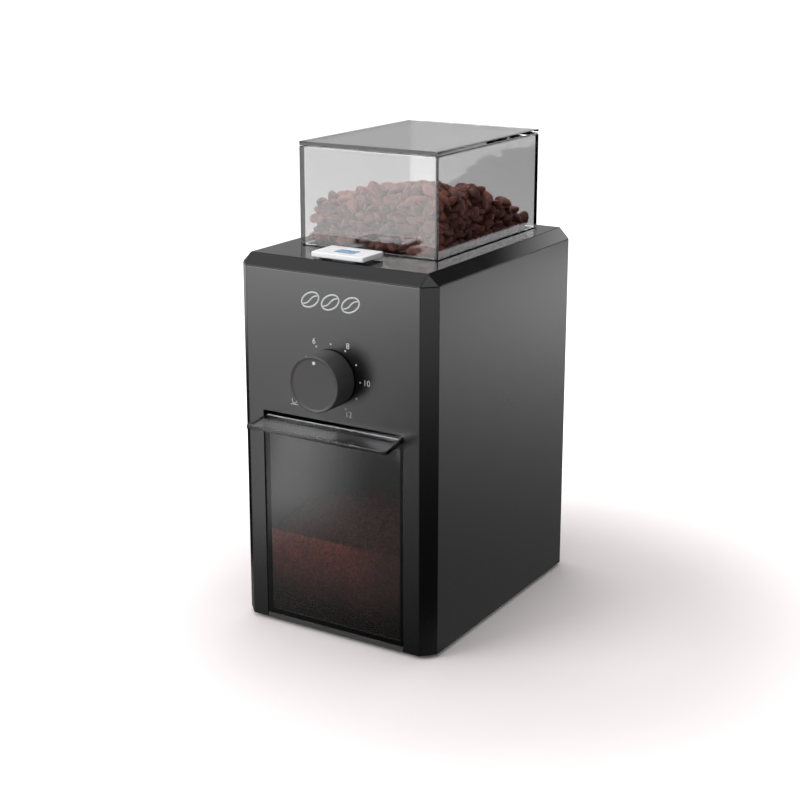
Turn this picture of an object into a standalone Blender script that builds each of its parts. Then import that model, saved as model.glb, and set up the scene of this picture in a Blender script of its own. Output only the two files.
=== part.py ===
"""Burr coffee grinder, modelled as the separate pieces that it is assembled from.

Metres, +Z up. The front faces -Y, and the user's right is +X. The machine stands on its rubber feet at Z = 0,
and the world origin is the middle of the bottom of its bounding box. Positions below are given from the
middle of the housing; the empty grinder_frame carries the shift between the two.
"""

import math

import bmesh
import bpy
from mathutils import Matrix, Vector

# ---- clearances and walls ------------------------------------------------------------------------------
SEAT_GAP = 0.0003  # between two pieces that rest on or are pressed into each other
SLIDE_GAP = 0.0004  # around a piece that slides or turns in another
WALL = 0.0025  # housing, deck and base plate
LINER_WALL = 0.0018  # inner mouldings
CLEAR_WALL = 0.0022  # transparent mouldings

# ---- housing -------------------------------------------------------------------------------------------
BODY_WIDTH = 0.120
BODY_DEPTH = 0.160
CORNER_CHAMFER = 0.007
FOOT_HEIGHT = 0.002
SEAM_HEIGHT = 0.1982  # top edge of the housing, where the deck sits
DECK_TOP = 0.2045
DECK_INSET = 0.0062  # how far the sloping rim of the deck comes in from the sides
BASE_TOP = FOOT_HEIGHT + WALL

# ---- ground coffee container and its bay ---------------------------------------------------------------
CONTAINER_WIDTH = 0.0862
CONTAINER_DEPTH = 0.069
CONTAINER_TOP = 0.119
CONTAINER_FLOOR = 0.0025
CONTAINER_TRAVEL = 0.100
BAY_CEILING = CONTAINER_TOP + 0.0018
LIP_REACH = 0.016
LIP_DROP = 0.002
LIP_THICKNESS = 0.0022

# ---- bean hopper ---------------------------------------------------------------------------------------
HOPPER_WIDTH = 0.085
HOPPER_FRONT = 0.029  # set back from the front edge of the deck's flat top
HOPPER_DEPTH = 0.112
OVERALL_HEIGHT = 0.260
LID_THICKNESS = 0.0022
LID_LIP_DEPTH = 0.004
LID_LIFT = 0.060
HOPPER_LEDGE = 0.0018  # how far the deck shows inside the hopper's walls

# ---- controls ------------------------------------------------------------------------------------------
DIAL_HEIGHT = 0.145
KNOB_RADIUS = 0.0147
KNOB_REACH = 0.016
KNOB_GAP = 0.0008
DIAL_SHAFT_RADIUS = 0.003
BUTTON_WIDTH = 0.032
BUTTON_LENGTH = 0.0195
BUTTON_THICKNESS = 0.0026
BUTTON_GAP = 0.0013
BUTTON_TRAVEL = 0.001
BUTTON_STEM = (0.014, 0.008)
BUTTON_STEM_BOTTOM = 0.198
BUTTON_PIN_RADIUS = 0.002
LENS_SIZE = (0.012, 0.0078)

# ---- grinding unit -------------------------------------------------------------------------------------
BURR_AXIS_Y = 0.013
BURR_RADIUS = 0.025
BURR_BORE = 0.012
BURR_THICKNESS = 0.005
BURR_GAP = 0.0006
BURR_TEETH = 16
CHAMBER_RADIUS = BURR_RADIUS + 0.0015
CHAMBER_FLOOR = 0.160
CHAMBER_TOP = 0.180
COLLAR_RADIUS = BURR_RADIUS + 0.0020
RING_RADIUS = COLLAR_RADIUS + 0.0080
LEVER_SWING = math.radians(12)
BURR_ADJUST = 0.0004  # the upper burr's rise or fall at either end of the lever's swing
TAB_THICKNESS = 0.0038
LEVER_HEIGHT = 0.003

# ---- drive ---------------------------------------------------------------------------------------------
GEAR_MODULE = 0.0009
GEAR_TEETH = 48
PINION_TEETH = 12
PRESSURE_ANGLE = math.radians(22.5)
BACKLASH = 0.00022
GEAR_BOTTOM = 0.1445
GEAR_THICKNESS = 0.010
BURR_SHAFT_RADIUS = 0.004
MOTOR_SHAFT_RADIUS = 0.002
CHASSIS_BOTTOM = 0.138
CHASSIS_THICKNESS = 0.003
MOTOR_RADIUS = 0.027
MOTOR_LENGTH = 0.066
CAN_WALL = 0.002

# ---- small parts ---------------------------------------------------------------------------------------
FOOT_RADIUS = 0.0065
SCREW_RADIUS = 0.0014
SCREW_HEAD = 0.003
BOARD_THICKNESS = 0.0016
GLAND_BORE = 0.0033
GLAND_HEIGHT = 0.018
GLAND_X = 0.030
GLAND_REACH = 0.003

# ---- places worked out from the sizes above ------------------------------------------------------------
FRONT = -BODY_DEPTH / 2
BACK = BODY_DEPTH / 2
DECK_FRONT = FRONT + DECK_INSET
HOPPER_Y = (DECK_FRONT + HOPPER_FRONT, DECK_FRONT + HOPPER_FRONT + HOPPER_DEPTH)
HOPPER_MIDDLE = sum(HOPPER_Y) / 2
BUTTON_Y = DECK_FRONT + BUTTON_LENGTH / 2
BUTTON_BOTTOM = DECK_TOP + BUTTON_GAP
LID_BOTTOM = OVERALL_HEIGHT - LID_THICKNESS
MOTOR_AXIS_Y = BURR_AXIS_Y + GEAR_MODULE * (GEAR_TEETH + PINION_TEETH) / 2
CHASSIS_TOP = CHASSIS_BOTTOM + CHASSIS_THICKNESS
MOTOR_TOP = CHASSIS_BOTTOM - SEAT_GAP
MOTOR_BOTTOM = MOTOR_TOP - MOTOR_LENGTH
RING_BOTTOM = CHAMBER_TOP + SEAT_GAP
RING_TOP = RING_BOTTOM + 0.0066
LOWER_BURR_TOP = 0.1753
UPPER_BURR_TOP = LOWER_BURR_TOP + BURR_GAP + BURR_THICKNESS
CARRIER_BOTTOM = UPPER_BURR_TOP + SEAT_GAP
LUG_MIDDLE = (RING_BOTTOM + RING_TOP) / 2
TAB_INNER = (BODY_WIDTH / 2) / math.cos(LEVER_SWING) + 0.0018
TAB_OUTER = TAB_INNER + TAB_THICKNESS
BAY_HALF_WIDTH = CONTAINER_WIDTH / 2 + SLIDE_GAP
BAY_BACK = FRONT + CONTAINER_DEPTH + 0.0012
CHUTE_Y = (-0.0445, -0.0228)
CHUTE_HALF_WIDTH = 0.0145
NECK_Y = (-0.0430, -0.0275)
NECK_HALF_WIDTH = 0.0125
BRACKET_TOP = BUTTON_STEM_BOTTOM - 0.0051
BRACKET_BOTTOM = BRACKET_TOP - 0.0015
POST_X = 0.013
FRAME_SHIFT = Vector(
    ((TAB_OUTER - BODY_WIDTH / 2) / 2, (max(KNOB_REACH, LIP_REACH) - GLAND_REACH - SEAT_GAP) / 2, 0)
)

MATERIALS = {
    "housing_black": ((0.035, 0.036, 0.038), 0.38, 0.0),
    "deck_black": ((0.020, 0.020, 0.022), 0.12, 0.0),
    "knob_grey": ((0.060, 0.058, 0.058), 0.55, 0.0),
    "clear_smoke": ((0.30, 0.30, 0.31), 0.08, 0.0),
    "button_white": ((0.85, 0.86, 0.87), 0.30, 0.0),
    "lens_blue": ((0.03, 0.35, 0.55), 0.15, 0.0),
    "inner_black": ((0.025, 0.025, 0.026), 0.60, 0.0),
    "gear_nylon": ((0.78, 0.77, 0.72), 0.50, 0.0),
    "burr_steel": ((0.55, 0.55, 0.56), 0.30, 1.0),
    "zinc_steel": ((0.60, 0.60, 0.60), 0.40, 1.0),
    "bearing_bronze": ((0.55, 0.38, 0.18), 0.40, 1.0),
    "winding_copper": ((0.60, 0.25, 0.12), 0.35, 1.0),
    "magnet_ferrite": ((0.09, 0.09, 0.095), 0.70, 0.0),
    "board_green": ((0.03, 0.16, 0.07), 0.50, 0.0),
    "foot_rubber": ((0.03, 0.03, 0.03), 0.85, 0.0),
}


# ---- scene helpers -------------------------------------------------------------------------------------
def clear_scene():
    for obj in list(bpy.data.objects):
        bpy.data.objects.remove(obj)


def new_collection(name):
    made = bpy.data.collections.new(name)
    bpy.context.scene.collection.children.link(made)
    return made


def empty(name, location, parent=None):
    """A frame that a body's pieces hang on; a moving body's frame lies on its joint's axis."""
    obj = bpy.data.objects.new(name, None)
    obj.empty_display_size = 0.01
    PARTS.objects.link(obj)
    obj.parent = parent
    obj.location = location
    return obj


def material(name):
    """The Principled material of one of the finishes in MATERIALS."""
    found = bpy.data.materials.get(name)
    if found:
        return found
    colour, roughness, metallic = MATERIALS[name]
    made = bpy.data.materials.new(name)
    made.use_nodes = True
    shader = made.node_tree.nodes["Principled BSDF"]
    shader.inputs["Base Color"].default_value = (*colour, 1)
    shader.inputs["Roughness"].default_value = roughness
    shader.inputs["Metallic"].default_value = metallic
    return made


def add(name, mesh, parent, finish=None):
    """Puts a mesh in the scene: as a part with a finish, or as a hidden cutter without one."""
    obj = bpy.data.objects.new(name, mesh)
    obj.parent = parent
    if finish:
        PARTS.objects.link(obj)
        mesh.materials.append(material(finish))
    else:
        CUTTERS.objects.link(obj)
        obj.hide_render = True
        obj.display_type = "WIRE"
    return obj


def mesh_from(bm, name):
    bmesh.ops.recalc_face_normals(bm, faces=bm.faces)
    mesh = bpy.data.meshes.new(name)
    bm.to_mesh(mesh)
    bm.free()
    return mesh


def box(name, low, high, parent, finish=None):
    """A block between two corners."""
    low, high = Vector(low), Vector(high)
    bm = bmesh.new()
    bmesh.ops.create_cube(bm, size=1)
    bmesh.ops.scale(bm, vec=high - low, verts=bm.verts)
    bmesh.ops.translate(bm, vec=(low + high) / 2, verts=bm.verts)
    return add(name, mesh_from(bm, name), parent, finish)


def rod(name, radius, start, length, parent, finish=None, axis="Z", sides=24):
    """A round bar from its start point, along an axis of its parent."""
    turn = {"Z": Matrix(), "Y": Matrix.Rotation(-math.pi / 2, 4, "X"), "X": Matrix.Rotation(math.pi / 2, 4, "Y")}
    bm = bmesh.new()
    bmesh.ops.create_cone(bm, cap_ends=True, segments=sides, radius1=radius, radius2=radius, depth=length)
    bmesh.ops.translate(bm, vec=(0, 0, length / 2), verts=bm.verts)
    bmesh.ops.transform(bm, matrix=Matrix.Translation(start) @ turn[axis], verts=bm.verts)
    return add(name, mesh_from(bm, name), parent, finish)


def turned(name, profile, parent, finish=None, steps=32, ring=False):
    """A shape turned about its own Z from (radius, height) points that run down its outer side.
    A ring's last point joins its first, and any other profile starts and ends on the axis."""
    mesh = bpy.data.meshes.new(name)
    edges = [(i, i + 1) for i in range(len(profile) - 1)]
    if ring:
        edges.append((len(profile) - 1, 0))
    mesh.from_pydata([(r, 0, z) for r, z in profile], edges, [])
    obj = add(name, mesh, parent, finish)
    screw = obj.modifiers.new("turn", "SCREW")
    screw.steps = steps
    screw.render_steps = steps
    screw.use_merge_vertices = True
    screw.merge_threshold = 0.00001
    return obj


def tube(name, inner, outer, bottom, top, parent, finish=None, steps=32):
    """A plain ring or bush."""
    profile = [(outer, top), (outer, bottom), (inner, bottom), (inner, top)]
    return turned(name, profile, parent, finish, steps, ring=True)


def plate(name, outlines, bottom, top, parent, finish=None):
    """A flat piece between two heights. The first outline is its edge, and the others are holes."""
    curve = bpy.data.curves.new(name, "CURVE")
    curve.dimensions = "2D"
    curve.fill_mode = "BOTH"
    curve.extrude = (top - bottom) / 2
    for outline in outlines:
        spline = curve.splines.new("POLY")
        spline.points.add(len(outline) - 1)
        for point, (x, y) in zip(spline.points, outline):
            point.co = (x, y, 0, 1)
        spline.use_cyclic_u = True
    source = bpy.data.objects.new(name, curve)
    bpy.context.scene.collection.objects.link(source)
    bpy.context.view_layer.update()
    mesh = bpy.data.meshes.new_from_object(source.evaluated_get(bpy.context.evaluated_depsgraph_get()))
    bpy.data.objects.remove(source)
    bm = bmesh.new()
    bm.from_mesh(mesh)
    bmesh.ops.remove_doubles(bm, verts=bm.verts, dist=0.000005)
    bmesh.ops.translate(bm, vec=(0, 0, (top + bottom) / 2), verts=bm.verts)
    return add(name, mesh_from(bm, name), parent, finish)


def loft(name, rings, parent, finish=None, ends=True):
    """A skin over a row of rings with equal numbers of points, with flat ends or open."""
    bm = bmesh.new()
    rows = [[bm.verts.new(point) for point in ring] for ring in rings]
    for first, second in zip(rows, rows[1:]):
        for i, vert in enumerate(first):
            following = (i + 1) % len(first)
            bm.faces.new((vert, first[following], second[following], second[i]))
    if ends:
        bm.faces.new(rows[0])
        bm.faces.new(rows[-1])
    return add(name, mesh_from(bm, name), parent, finish)


def cut(obj, *cutters):
    for cutter in cutters:
        boolean = obj.modifiers.new("cut", "BOOLEAN")
        boolean.operation = "DIFFERENCE"
        boolean.object = cutter


def join(obj, *pieces):
    """Makes hidden shapes part of obj."""
    for piece in pieces:
        boolean = obj.modifiers.new("join", "BOOLEAN")
        boolean.operation = "UNION"
        boolean.object = piece


def bevel(obj, width, segments=2):
    rounding = obj.modifiers.new("bevel", "BEVEL")
    rounding.width = width
    rounding.segments = segments
    rounding.limit_method = "ANGLE"


def circle(x, y, radius, sides=16):
    return [
        (x + radius * math.cos(2 * math.pi * i / sides), y + radius * math.sin(2 * math.pi * i / sides))
        for i in range(sides)
    ]


def rectangle(x0, y0, x1, y1):
    return [(x0, y0), (x1, y0), (x1, y1), (x0, y1)]


def arc(radius, start, end, steps):
    return [
        (radius * math.cos(start + (end - start) * i / steps), radius * math.sin(start + (end - start) * i / steps))
        for i in range(steps + 1)
    ]


def body_outline(inset=0.0):
    """The housing's plan, an oblong with cut corners, or the line that runs a distance inside it."""
    x, y = BODY_WIDTH / 2 - inset, BODY_DEPTH / 2 - inset
    c = CORNER_CHAMFER - inset * (2 - math.sqrt(2))
    return [(x, c - y), (x, y - c), (x - c, y), (c - x, y), (-x, y - c), (-x, c - y), (c - x, -y), (x - c, -y)]


def screw_piece(name, x, y, head_z, length, parent, up=True):
    """A pan-head screw whose head is at head_z, pointing up or down."""
    way = 1 if up else -1
    head = 0.0012
    points = [
        (0, length),
        (SCREW_RADIUS, length),
        (SCREW_RADIUS, head),
        (SCREW_HEAD, head),
        (SCREW_HEAD, 0.0004),
        (SCREW_HEAD - 0.0004, 0),
        (0, 0),
    ]
    obj = turned(name, points, parent, "zinc_steel", steps=12)
    obj.location = (x, y, head_z)
    obj.rotation_euler = (0 if way == 1 else math.pi, 0, 0)
    return obj


# ---- housing, base and feet ----------------------------------------------------------------------------
BOSS_X = BODY_WIDTH / 2 - 0.0063
BOSS_Y = BODY_DEPTH / 2 - 0.0115
BOSS_TOP = 0.024
FOOT_X = BODY_WIDTH / 2 - 0.016
FOOT_Y = BODY_DEPTH / 2 - 0.014
CORNERS = {"front_left": (-1, -1), "front_right": (1, -1), "rear_left": (-1, 1), "rear_right": (1, 1)}
BOARD_POSTS = [(-0.028, DIAL_HEIGHT - 0.010), (0.028, DIAL_HEIGHT + 0.036)]
BOARD_FRONT = FRONT + 0.022


def corner_boss(name, sx, sy, parent):
    """A pillar that grows out of a side wall beside a corner, for a screw from below."""
    x = sorted((sx * (BOSS_X - 0.0045), sx * (BODY_WIDTH / 2 - WALL / 2)))
    y = sorted((sy * (BOSS_Y - 0.0045), sy * (BOSS_Y + 0.0045)))
    return box(name, (x[0], y[0], BASE_TOP + SEAT_GAP), (x[1], y[1], BOSS_TOP), parent)


def make_housing(frame):
    housing = plate(
        "main_housing", [body_outline(), body_outline(WALL)], FOOT_HEIGHT, SEAM_HEIGHT, frame, "housing_black"
    )
    for name, (sx, sy) in CORNERS.items():
        join(housing, corner_boss("boss_" + name, sx, sy, frame))
        cut(housing, rod("pilot_" + name, SCREW_RADIUS + SEAT_GAP, (sx * BOSS_X, sy * BOSS_Y, 0), 0.022, frame))
    for i, (x, z) in enumerate(BOARD_POSTS):
        start = (x, FRONT + WALL / 2, z)
        join(housing, rod(f"board_post_{i}", 0.003, start, BOARD_FRONT - SEAT_GAP - start[1], frame, axis="Y"))
    half = BAY_HALF_WIDTH
    cut(
        housing,
        box("container_mouth", (-half, FRONT - 0.01, -0.01), (half, FRONT + 0.01, BAY_CEILING), frame),
        rod("dial_hole", DIAL_SHAFT_RADIUS + 0.001, (0, FRONT - 0.01, DIAL_HEIGHT), 0.02, frame, axis="Y"),
        rod("gland_hole", 0.006, (GLAND_X, BACK - 0.01, GLAND_HEIGHT), 0.02, frame, axis="Y"),
    )
    slot = (BODY_WIDTH / 2) * math.tan(LEVER_SWING) + 0.0062
    cut(
        housing,
        box(
            "lever_slot",
            (-BODY_WIDTH / 2 - 0.01, BURR_AXIS_Y - slot, LUG_MIDDLE - 0.0022),
            (-BODY_WIDTH / 2 + 0.01, BURR_AXIS_Y + slot, LUG_MIDDLE + 0.0022),
            frame,
        ),
    )
    for i in range(6):
        z = 0.034 + 0.006 * i
        cut(housing, box(f"rear_vent_{i}", (-0.022, BACK - 0.01, z), (0.022, BACK + 0.01, z + 0.0025), frame))
    return housing


def make_base(frame):
    inset = WALL + SEAT_GAP
    holes = [circle(sx * BOSS_X, sy * BOSS_Y, SCREW_RADIUS + 0.0004) for sx, sy in CORNERS.values()]
    holes += [circle(sx * FOOT_X, sy * FOOT_Y, 0.0025) for sx, sy in CORNERS.values()]
    holes += [circle(x, y, SCREW_RADIUS + 0.0004) for x, y in LEG_SCREWS.values()]
    holes += [rectangle(-0.018, 0.024 + 0.007 * i, 0.018, 0.027 + 0.007 * i) for i in range(5)]
    half = BAY_HALF_WIDTH - SEAT_GAP
    *edge, left, right = body_outline(inset)
    edge += [left, (-half, left[1]), (-half, FRONT), (half, FRONT), (half, right[1]), right]
    plate("base_plate", [edge, *holes], FOOT_HEIGHT, BASE_TOP, frame, "inner_black")
    for name, (sx, sy) in CORNERS.items():
        screw_piece("base_screw_" + name, sx * BOSS_X, sy * BOSS_Y, 0.0005, 0.016, frame)
        foot_profile = [
            (0, BASE_TOP - 0.0003),
            (0.0021, BASE_TOP - 0.0003),
            (0.0021, FOOT_HEIGHT - SEAT_GAP),
            (FOOT_RADIUS, FOOT_HEIGHT - SEAT_GAP),
            (FOOT_RADIUS, 0.0005),
            (FOOT_RADIUS - 0.0005, 0),
            (0, 0),
        ]
        foot = turned("foot_" + name, foot_profile, frame, "foot_rubber", steps=20)
        foot.location = (sx * FOOT_X, sy * FOOT_Y, 0)


def make_gland(frame):
    """The rubber bush in the back wall that a mains cord passes through."""
    inner, wall, reach = 0.0070, 0.0056, 0.0075
    mouth = WALL + SEAT_GAP
    profile = [
        (reach - 0.001, GLAND_REACH + SEAT_GAP),
        (reach, GLAND_REACH + SEAT_GAP - 0.001),
        (reach, SEAT_GAP),
        (wall, SEAT_GAP),
        (wall, -mouth),
        (inner, -mouth),
        (inner, -mouth - 0.002),
        (GLAND_BORE, -mouth - 0.002),
        (GLAND_BORE, GLAND_REACH + SEAT_GAP),
    ]
    gland = turned("cord_gland", profile, frame, "foot_rubber", steps=32, ring=True)
    gland.location = (GLAND_X, BACK, GLAND_HEIGHT)
    gland.rotation_euler = (-math.pi / 2, 0, 0)


# ---- deck and hopper -----------------------------------------------------------------------------------
HOPPER_TABS = [(sx, y) for sx in (-1, 1) for y in (HOPPER_Y[0] + 0.022, HOPPER_Y[1] - 0.022)]
TAB_LENGTH = 0.010
TAB_DEPTH = WALL - 0.0001
MOUTH_HALF_WIDTH = HOPPER_WIDTH / 2 - CLEAR_WALL - HOPPER_LEDGE
MOUTH_Y = (HOPPER_Y[0] + CLEAR_WALL + HOPPER_LEDGE, HOPPER_Y[1] - CLEAR_WALL - HOPPER_LEDGE)
FUNNEL_TOP = DECK_TOP - WALL - SEAT_GAP


def rim_points(inset):
    """The corner points of the deck's rim: its cut-corner lower edge and its square flat top."""
    x, y = BODY_WIDTH / 2 - DECK_INSET - inset, BODY_DEPTH / 2 - DECK_INSET - inset
    bottom = SEAM_HEIGHT + SEAT_GAP - inset / 2
    low = [(px, py, bottom) for px, py in body_outline(inset)]
    return low + [(sx * x, sy * y, DECK_TOP - inset) for sx in (-1, 1) for sy in (-1, 1)]


def hull(name, points, parent, finish=None):
    """The solid that a skin stretched round the points encloses."""
    bm = bmesh.new()
    for point in points:
        bm.verts.new(point)
    bmesh.ops.convex_hull(bm, input=bm.verts)
    return add(name, mesh_from(bm, name), parent, finish)


def make_deck(frame):
    deck = hull("top_deck", rim_points(0), frame, "deck_black")
    cut(deck, hull("deck_hollow", rim_points(WALL), frame))
    skirt = plate(
        "deck_skirt",
        [body_outline(WALL + SEAT_GAP), body_outline(WALL + SEAT_GAP + LINER_WALL)],
        SEAM_HEIGHT - 0.005,
        SEAM_HEIGHT + 0.0012,
        frame,
    )
    join(deck, skirt)
    for side in (-1, 1):
        start = (side * POST_X, BUTTON_Y, BRACKET_TOP + SEAT_GAP)
        join(deck, rod(f"bracket_post_{side}", 0.0026, start, DECK_TOP - WALL / 2 - start[2], frame, sides=16))
        stake = (start[0], start[1], BRACKET_BOTTOM - 0.0015)
        join(deck, rod(f"bracket_stake_{side}", 0.0012, stake, start[2] + 0.001 - stake[2], frame, sides=12))
    half, (front, back) = MOUTH_HALF_WIDTH, MOUTH_Y
    stem_x, stem_y = BUTTON_STEM[0] / 2 + SLIDE_GAP, BUTTON_STEM[1] / 2 + SLIDE_GAP
    cut(
        deck,
        box("hopper_mouth", (-half, front, DECK_TOP - 0.01), (half, back, DECK_TOP + 0.01), frame),
        box(
            "stem_hole",
            (-stem_x, BUTTON_Y - stem_y, DECK_TOP - 0.01),
            (stem_x, BUTTON_Y + stem_y, DECK_TOP + 0.01),
            frame,
        ),
    )
    for i, (side, y) in enumerate(HOPPER_TABS):
        x = sorted(
            (side * (HOPPER_WIDTH / 2 + SEAT_GAP), side * (HOPPER_WIDTH / 2 - CLEAR_WALL - SEAT_GAP))
        )
        length = TAB_LENGTH / 2 + SEAT_GAP
        cut(deck, box(f"tab_slot_{i}", (x[0], y - length, DECK_TOP - 0.01), (x[1], y + length, DECK_TOP + 0.01), frame))
    return deck


def make_hopper(frame, lid_frame):
    x, (front, back) = HOPPER_WIDTH / 2, HOPPER_Y
    t = CLEAR_WALL
    hopper = plate(
        "bean_hopper",
        [rectangle(-x, front, x, back), rectangle(t - x, front + t, x - t, back - t)],
        DECK_TOP + SEAT_GAP,
        LID_BOTTOM - SEAT_GAP,
        frame,
        "clear_smoke",
    )
    for i, (side, y) in enumerate(HOPPER_TABS):
        edges = sorted((side * x, side * (x - t)))
        low = (edges[0], y - TAB_LENGTH / 2, DECK_TOP - TAB_DEPTH)
        join(hopper, box(f"hopper_tab_{i}", low, (edges[1], y + TAB_LENGTH / 2, DECK_TOP + 0.004), frame))
    lid = box("hopper_lid", (-x, front, LID_BOTTOM), (x, back, OVERALL_HEIGHT), lid_frame, "clear_smoke")
    inset = t + SLIDE_GAP
    lip_wall = 0.0016
    outer = rectangle(inset - x, front + inset, x - inset, back - inset)
    inset += lip_wall
    inner = rectangle(inset - x, front + inset, x - inset, back - inset)
    join(lid, plate("lid_lip", [outer, inner], LID_BOTTOM - LID_LIP_DEPTH, LID_BOTTOM + 0.001, lid_frame))


def rectangle_ring(half_x, y0, y1, z, side_points):
    """side_points points on each side of a level rectangle, the first one in the middle of its +X side."""
    corners = [(half_x, y1), (-half_x, y1), (-half_x, y0), (half_x, y0)]
    starts = corners[-1:] + corners[:-1]
    ring = []
    for (ax, ay), (bx, by) in zip(starts, corners):
        for i in range(side_points):
            share = i / side_points
            ring.append((ax + (bx - ax) * share, ay + (by - ay) * share, z))
    return ring


def circle_ring(radius, y, z, like):
    """A level circle with a point in the direction of each point of another ring."""
    ring = []
    for px, py, _ in like:
        angle = math.atan2(py - y, px)
        ring.append((radius * math.cos(angle), y + radius * math.sin(angle), z))
    return ring


def make_funnel(frame):
    """The dark floor of the hopper: a flange under the deck, a slope to a round mouth, and a collar with
    three slots that keep the upper burr from turning."""
    lug_angles = lug_directions()
    flange = 0.0045
    (front, back), half = MOUTH_Y, MOUTH_HALF_WIDTH
    outer = rectangle_ring(half + flange, front - flange, back + flange, FUNNEL_TOP, 8)
    mouth = rectangle_ring(half, front, back, FUNNEL_TOP, 8)
    throat_z = RING_TOP + 0.0020
    throat = circle_ring(COLLAR_RADIUS, BURR_AXIS_Y, throat_z, mouth)
    collar = circle_ring(COLLAR_RADIUS, BURR_AXIS_Y, RING_BOTTOM + 0.0002, mouth)
    funnel = loft("bean_funnel", [outer, mouth, throat, collar], frame, "inner_black", ends=False)
    wall = funnel.modifiers.new("wall", "SOLIDIFY")
    wall.thickness = LINER_WALL
    wall.offset = FUNNEL_WALL_SIDE
    wall.use_even_offset = True
    for i, angle in enumerate(lug_angles):
        low = (COLLAR_RADIUS - 0.0070, -0.0024, RING_BOTTOM - 0.005)
        high = (COLLAR_RADIUS + 0.0050, 0.0024, LUG_MIDDLE + 0.0025)
        cutter = box(f"lug_slot_{i}", low, high, frame)
        cutter.location = (0, BURR_AXIS_Y, 0)
        cutter.rotation_euler = (0, 0, angle)
        cut(funnel, cutter)


FUNNEL_WALL_SIDE = -1


# ---- ground coffee container ---------------------------------------------------------------------------
def make_bay(frame):
    half, wall = BAY_HALF_WIDTH, LINER_WALL
    bay = box(
        "container_bay",
        (-half - wall, FRONT + WALL + SEAT_GAP, BASE_TOP + SEAT_GAP),
        (half + wall, BAY_BACK + wall, BAY_CEILING + wall),
        frame,
        "inner_black",
    )
    neck = NECK_HALF_WIDTH + SEAT_GAP
    cut(
        bay,
        box("bay_hollow", (-half, FRONT - 0.01, -0.01), (half, BAY_BACK, BAY_CEILING), frame),
        box(
            "neck_hole",
            (-neck, NECK_Y[0] - SEAT_GAP, BAY_CEILING - 0.01),
            (neck, NECK_Y[1] + SEAT_GAP, BAY_CEILING + 0.01),
            frame,
        ),
    )


def make_container(slide):
    """The clear drawer that catches the ground coffee. Its sloping front lip is the handle."""
    half, bottom = CONTAINER_WIDTH / 2, BASE_TOP + SLIDE_GAP
    back = FRONT + CONTAINER_DEPTH
    container = box("ground_container", (-half, FRONT, bottom), (half, back, CONTAINER_TOP), slide, "clear_smoke")
    t = CLEAR_WALL
    cut(
        container,
        box(
            "container_hollow",
            (t - half, FRONT + t, bottom + CONTAINER_FLOOR),
            (half - t, back - t, CONTAINER_TOP + 0.01),
            slide,
        ),
    )
    root, nose = FRONT + t / 2, FRONT - LIP_REACH
    profile = [
        (root, CONTAINER_TOP),
        (root, CONTAINER_TOP - LIP_THICKNESS - 0.002),
        (FRONT - 0.002, CONTAINER_TOP - LIP_THICKNESS - LIP_DROP * 0.12),
        (nose, CONTAINER_TOP - LIP_DROP - LIP_THICKNESS),
        (nose, CONTAINER_TOP - LIP_DROP),
    ]
    rings = [[(side * half, y, z) for y, z in profile] for side in (-1, 1)]
    join(container, loft("container_lip", rings, slide))


# ---- grinding unit -------------------------------------------------------------------------------------
def lug_directions():
    """Directions of the upper burr's three guide lugs, clear of the lever at the left."""
    return [math.radians(a) for a in (30, 120, 240)]


def make_chamber(frame):
    """The bowl round the burrs, with its spout to the chute and a flange that carries the adjusting ring."""
    wall, flange_z = 0.0025, CHAMBER_TOP - 0.0025
    outer = CHAMBER_RADIUS + wall
    profile = [
        (RING_RADIUS + SEAT_GAP, CHAMBER_TOP),
        (RING_RADIUS + SEAT_GAP, flange_z),
        (outer, flange_z),
        (outer, CHAMBER_FLOOR),
        (0.0075, CHAMBER_FLOOR),
        (0.0075, CHAMBER_FLOOR + 0.003),
        (CHAMBER_RADIUS, CHAMBER_FLOOR + 0.003),
        (CHAMBER_RADIUS, CHAMBER_TOP),
    ]
    chamber = turned("burr_chamber", profile, frame, "inner_black", steps=40, ring=True)
    chamber.location = (0, BURR_AXIS_Y, 0)
    x, tip = CHUTE_HALF_WIDTH - LINER_WALL - SEAT_GAP - 0.001, CHUTE_Y[1] - 0.004
    top = flange_z - 0.0005
    join(chamber, box("spout", (-x, tip, CHAMBER_FLOOR), (x, BURR_AXIS_Y - CHAMBER_RADIUS + 0.0013, top), frame))
    inside = x - 0.0015
    low = (-inside, tip - 0.01, CHAMBER_FLOOR + 0.003)
    high = (inside, BURR_AXIS_Y - CHAMBER_RADIUS + 0.012, top - 0.0015)
    bore = (0, BURR_AXIS_Y, CHAMBER_FLOOR + 0.0031)
    cut(
        chamber,
        box("spout_hollow", low, high, frame),
        rod("chamber_bore", CHAMBER_RADIUS - 0.0001, bore, 0.03, frame, sides=40),
    )


def make_chute(frame):
    wall = 0.0015
    x, (front, back) = CHUTE_HALF_WIDTH, CHUTE_Y
    top, neck_z, bottom = CHAMBER_TOP + 0.001, BAY_CEILING + LINER_WALL + 0.0012, CONTAINER_TOP + 0.0006
    chute = box("coffee_chute", (-x, front, neck_z), (x, back, top), frame, "inner_black")
    neck_x = NECK_HALF_WIDTH
    join(chute, box("chute_neck", (-neck_x, NECK_Y[0], bottom), (neck_x, NECK_Y[1], neck_z + 0.004), frame))
    inner = neck_x - wall
    spout_x = CHUTE_HALF_WIDTH - LINER_WALL - 0.001
    cut(
        chute,
        box("chute_hollow", (wall - x, front + wall, neck_z + wall), (x - wall, back - wall, top - wall), frame),
        box(
            "neck_hollow",
            (-inner, NECK_Y[0] + wall, bottom - 0.01),
            (inner, NECK_Y[1] - wall, neck_z + 0.01),
            frame,
        ),
        box(
            "spout_window",
            (-spout_x, back - 0.004, CHAMBER_FLOOR - SEAT_GAP),
            (spout_x, back + 0.01, CHAMBER_TOP - 0.0027),
            frame,
        ),
    )


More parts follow.
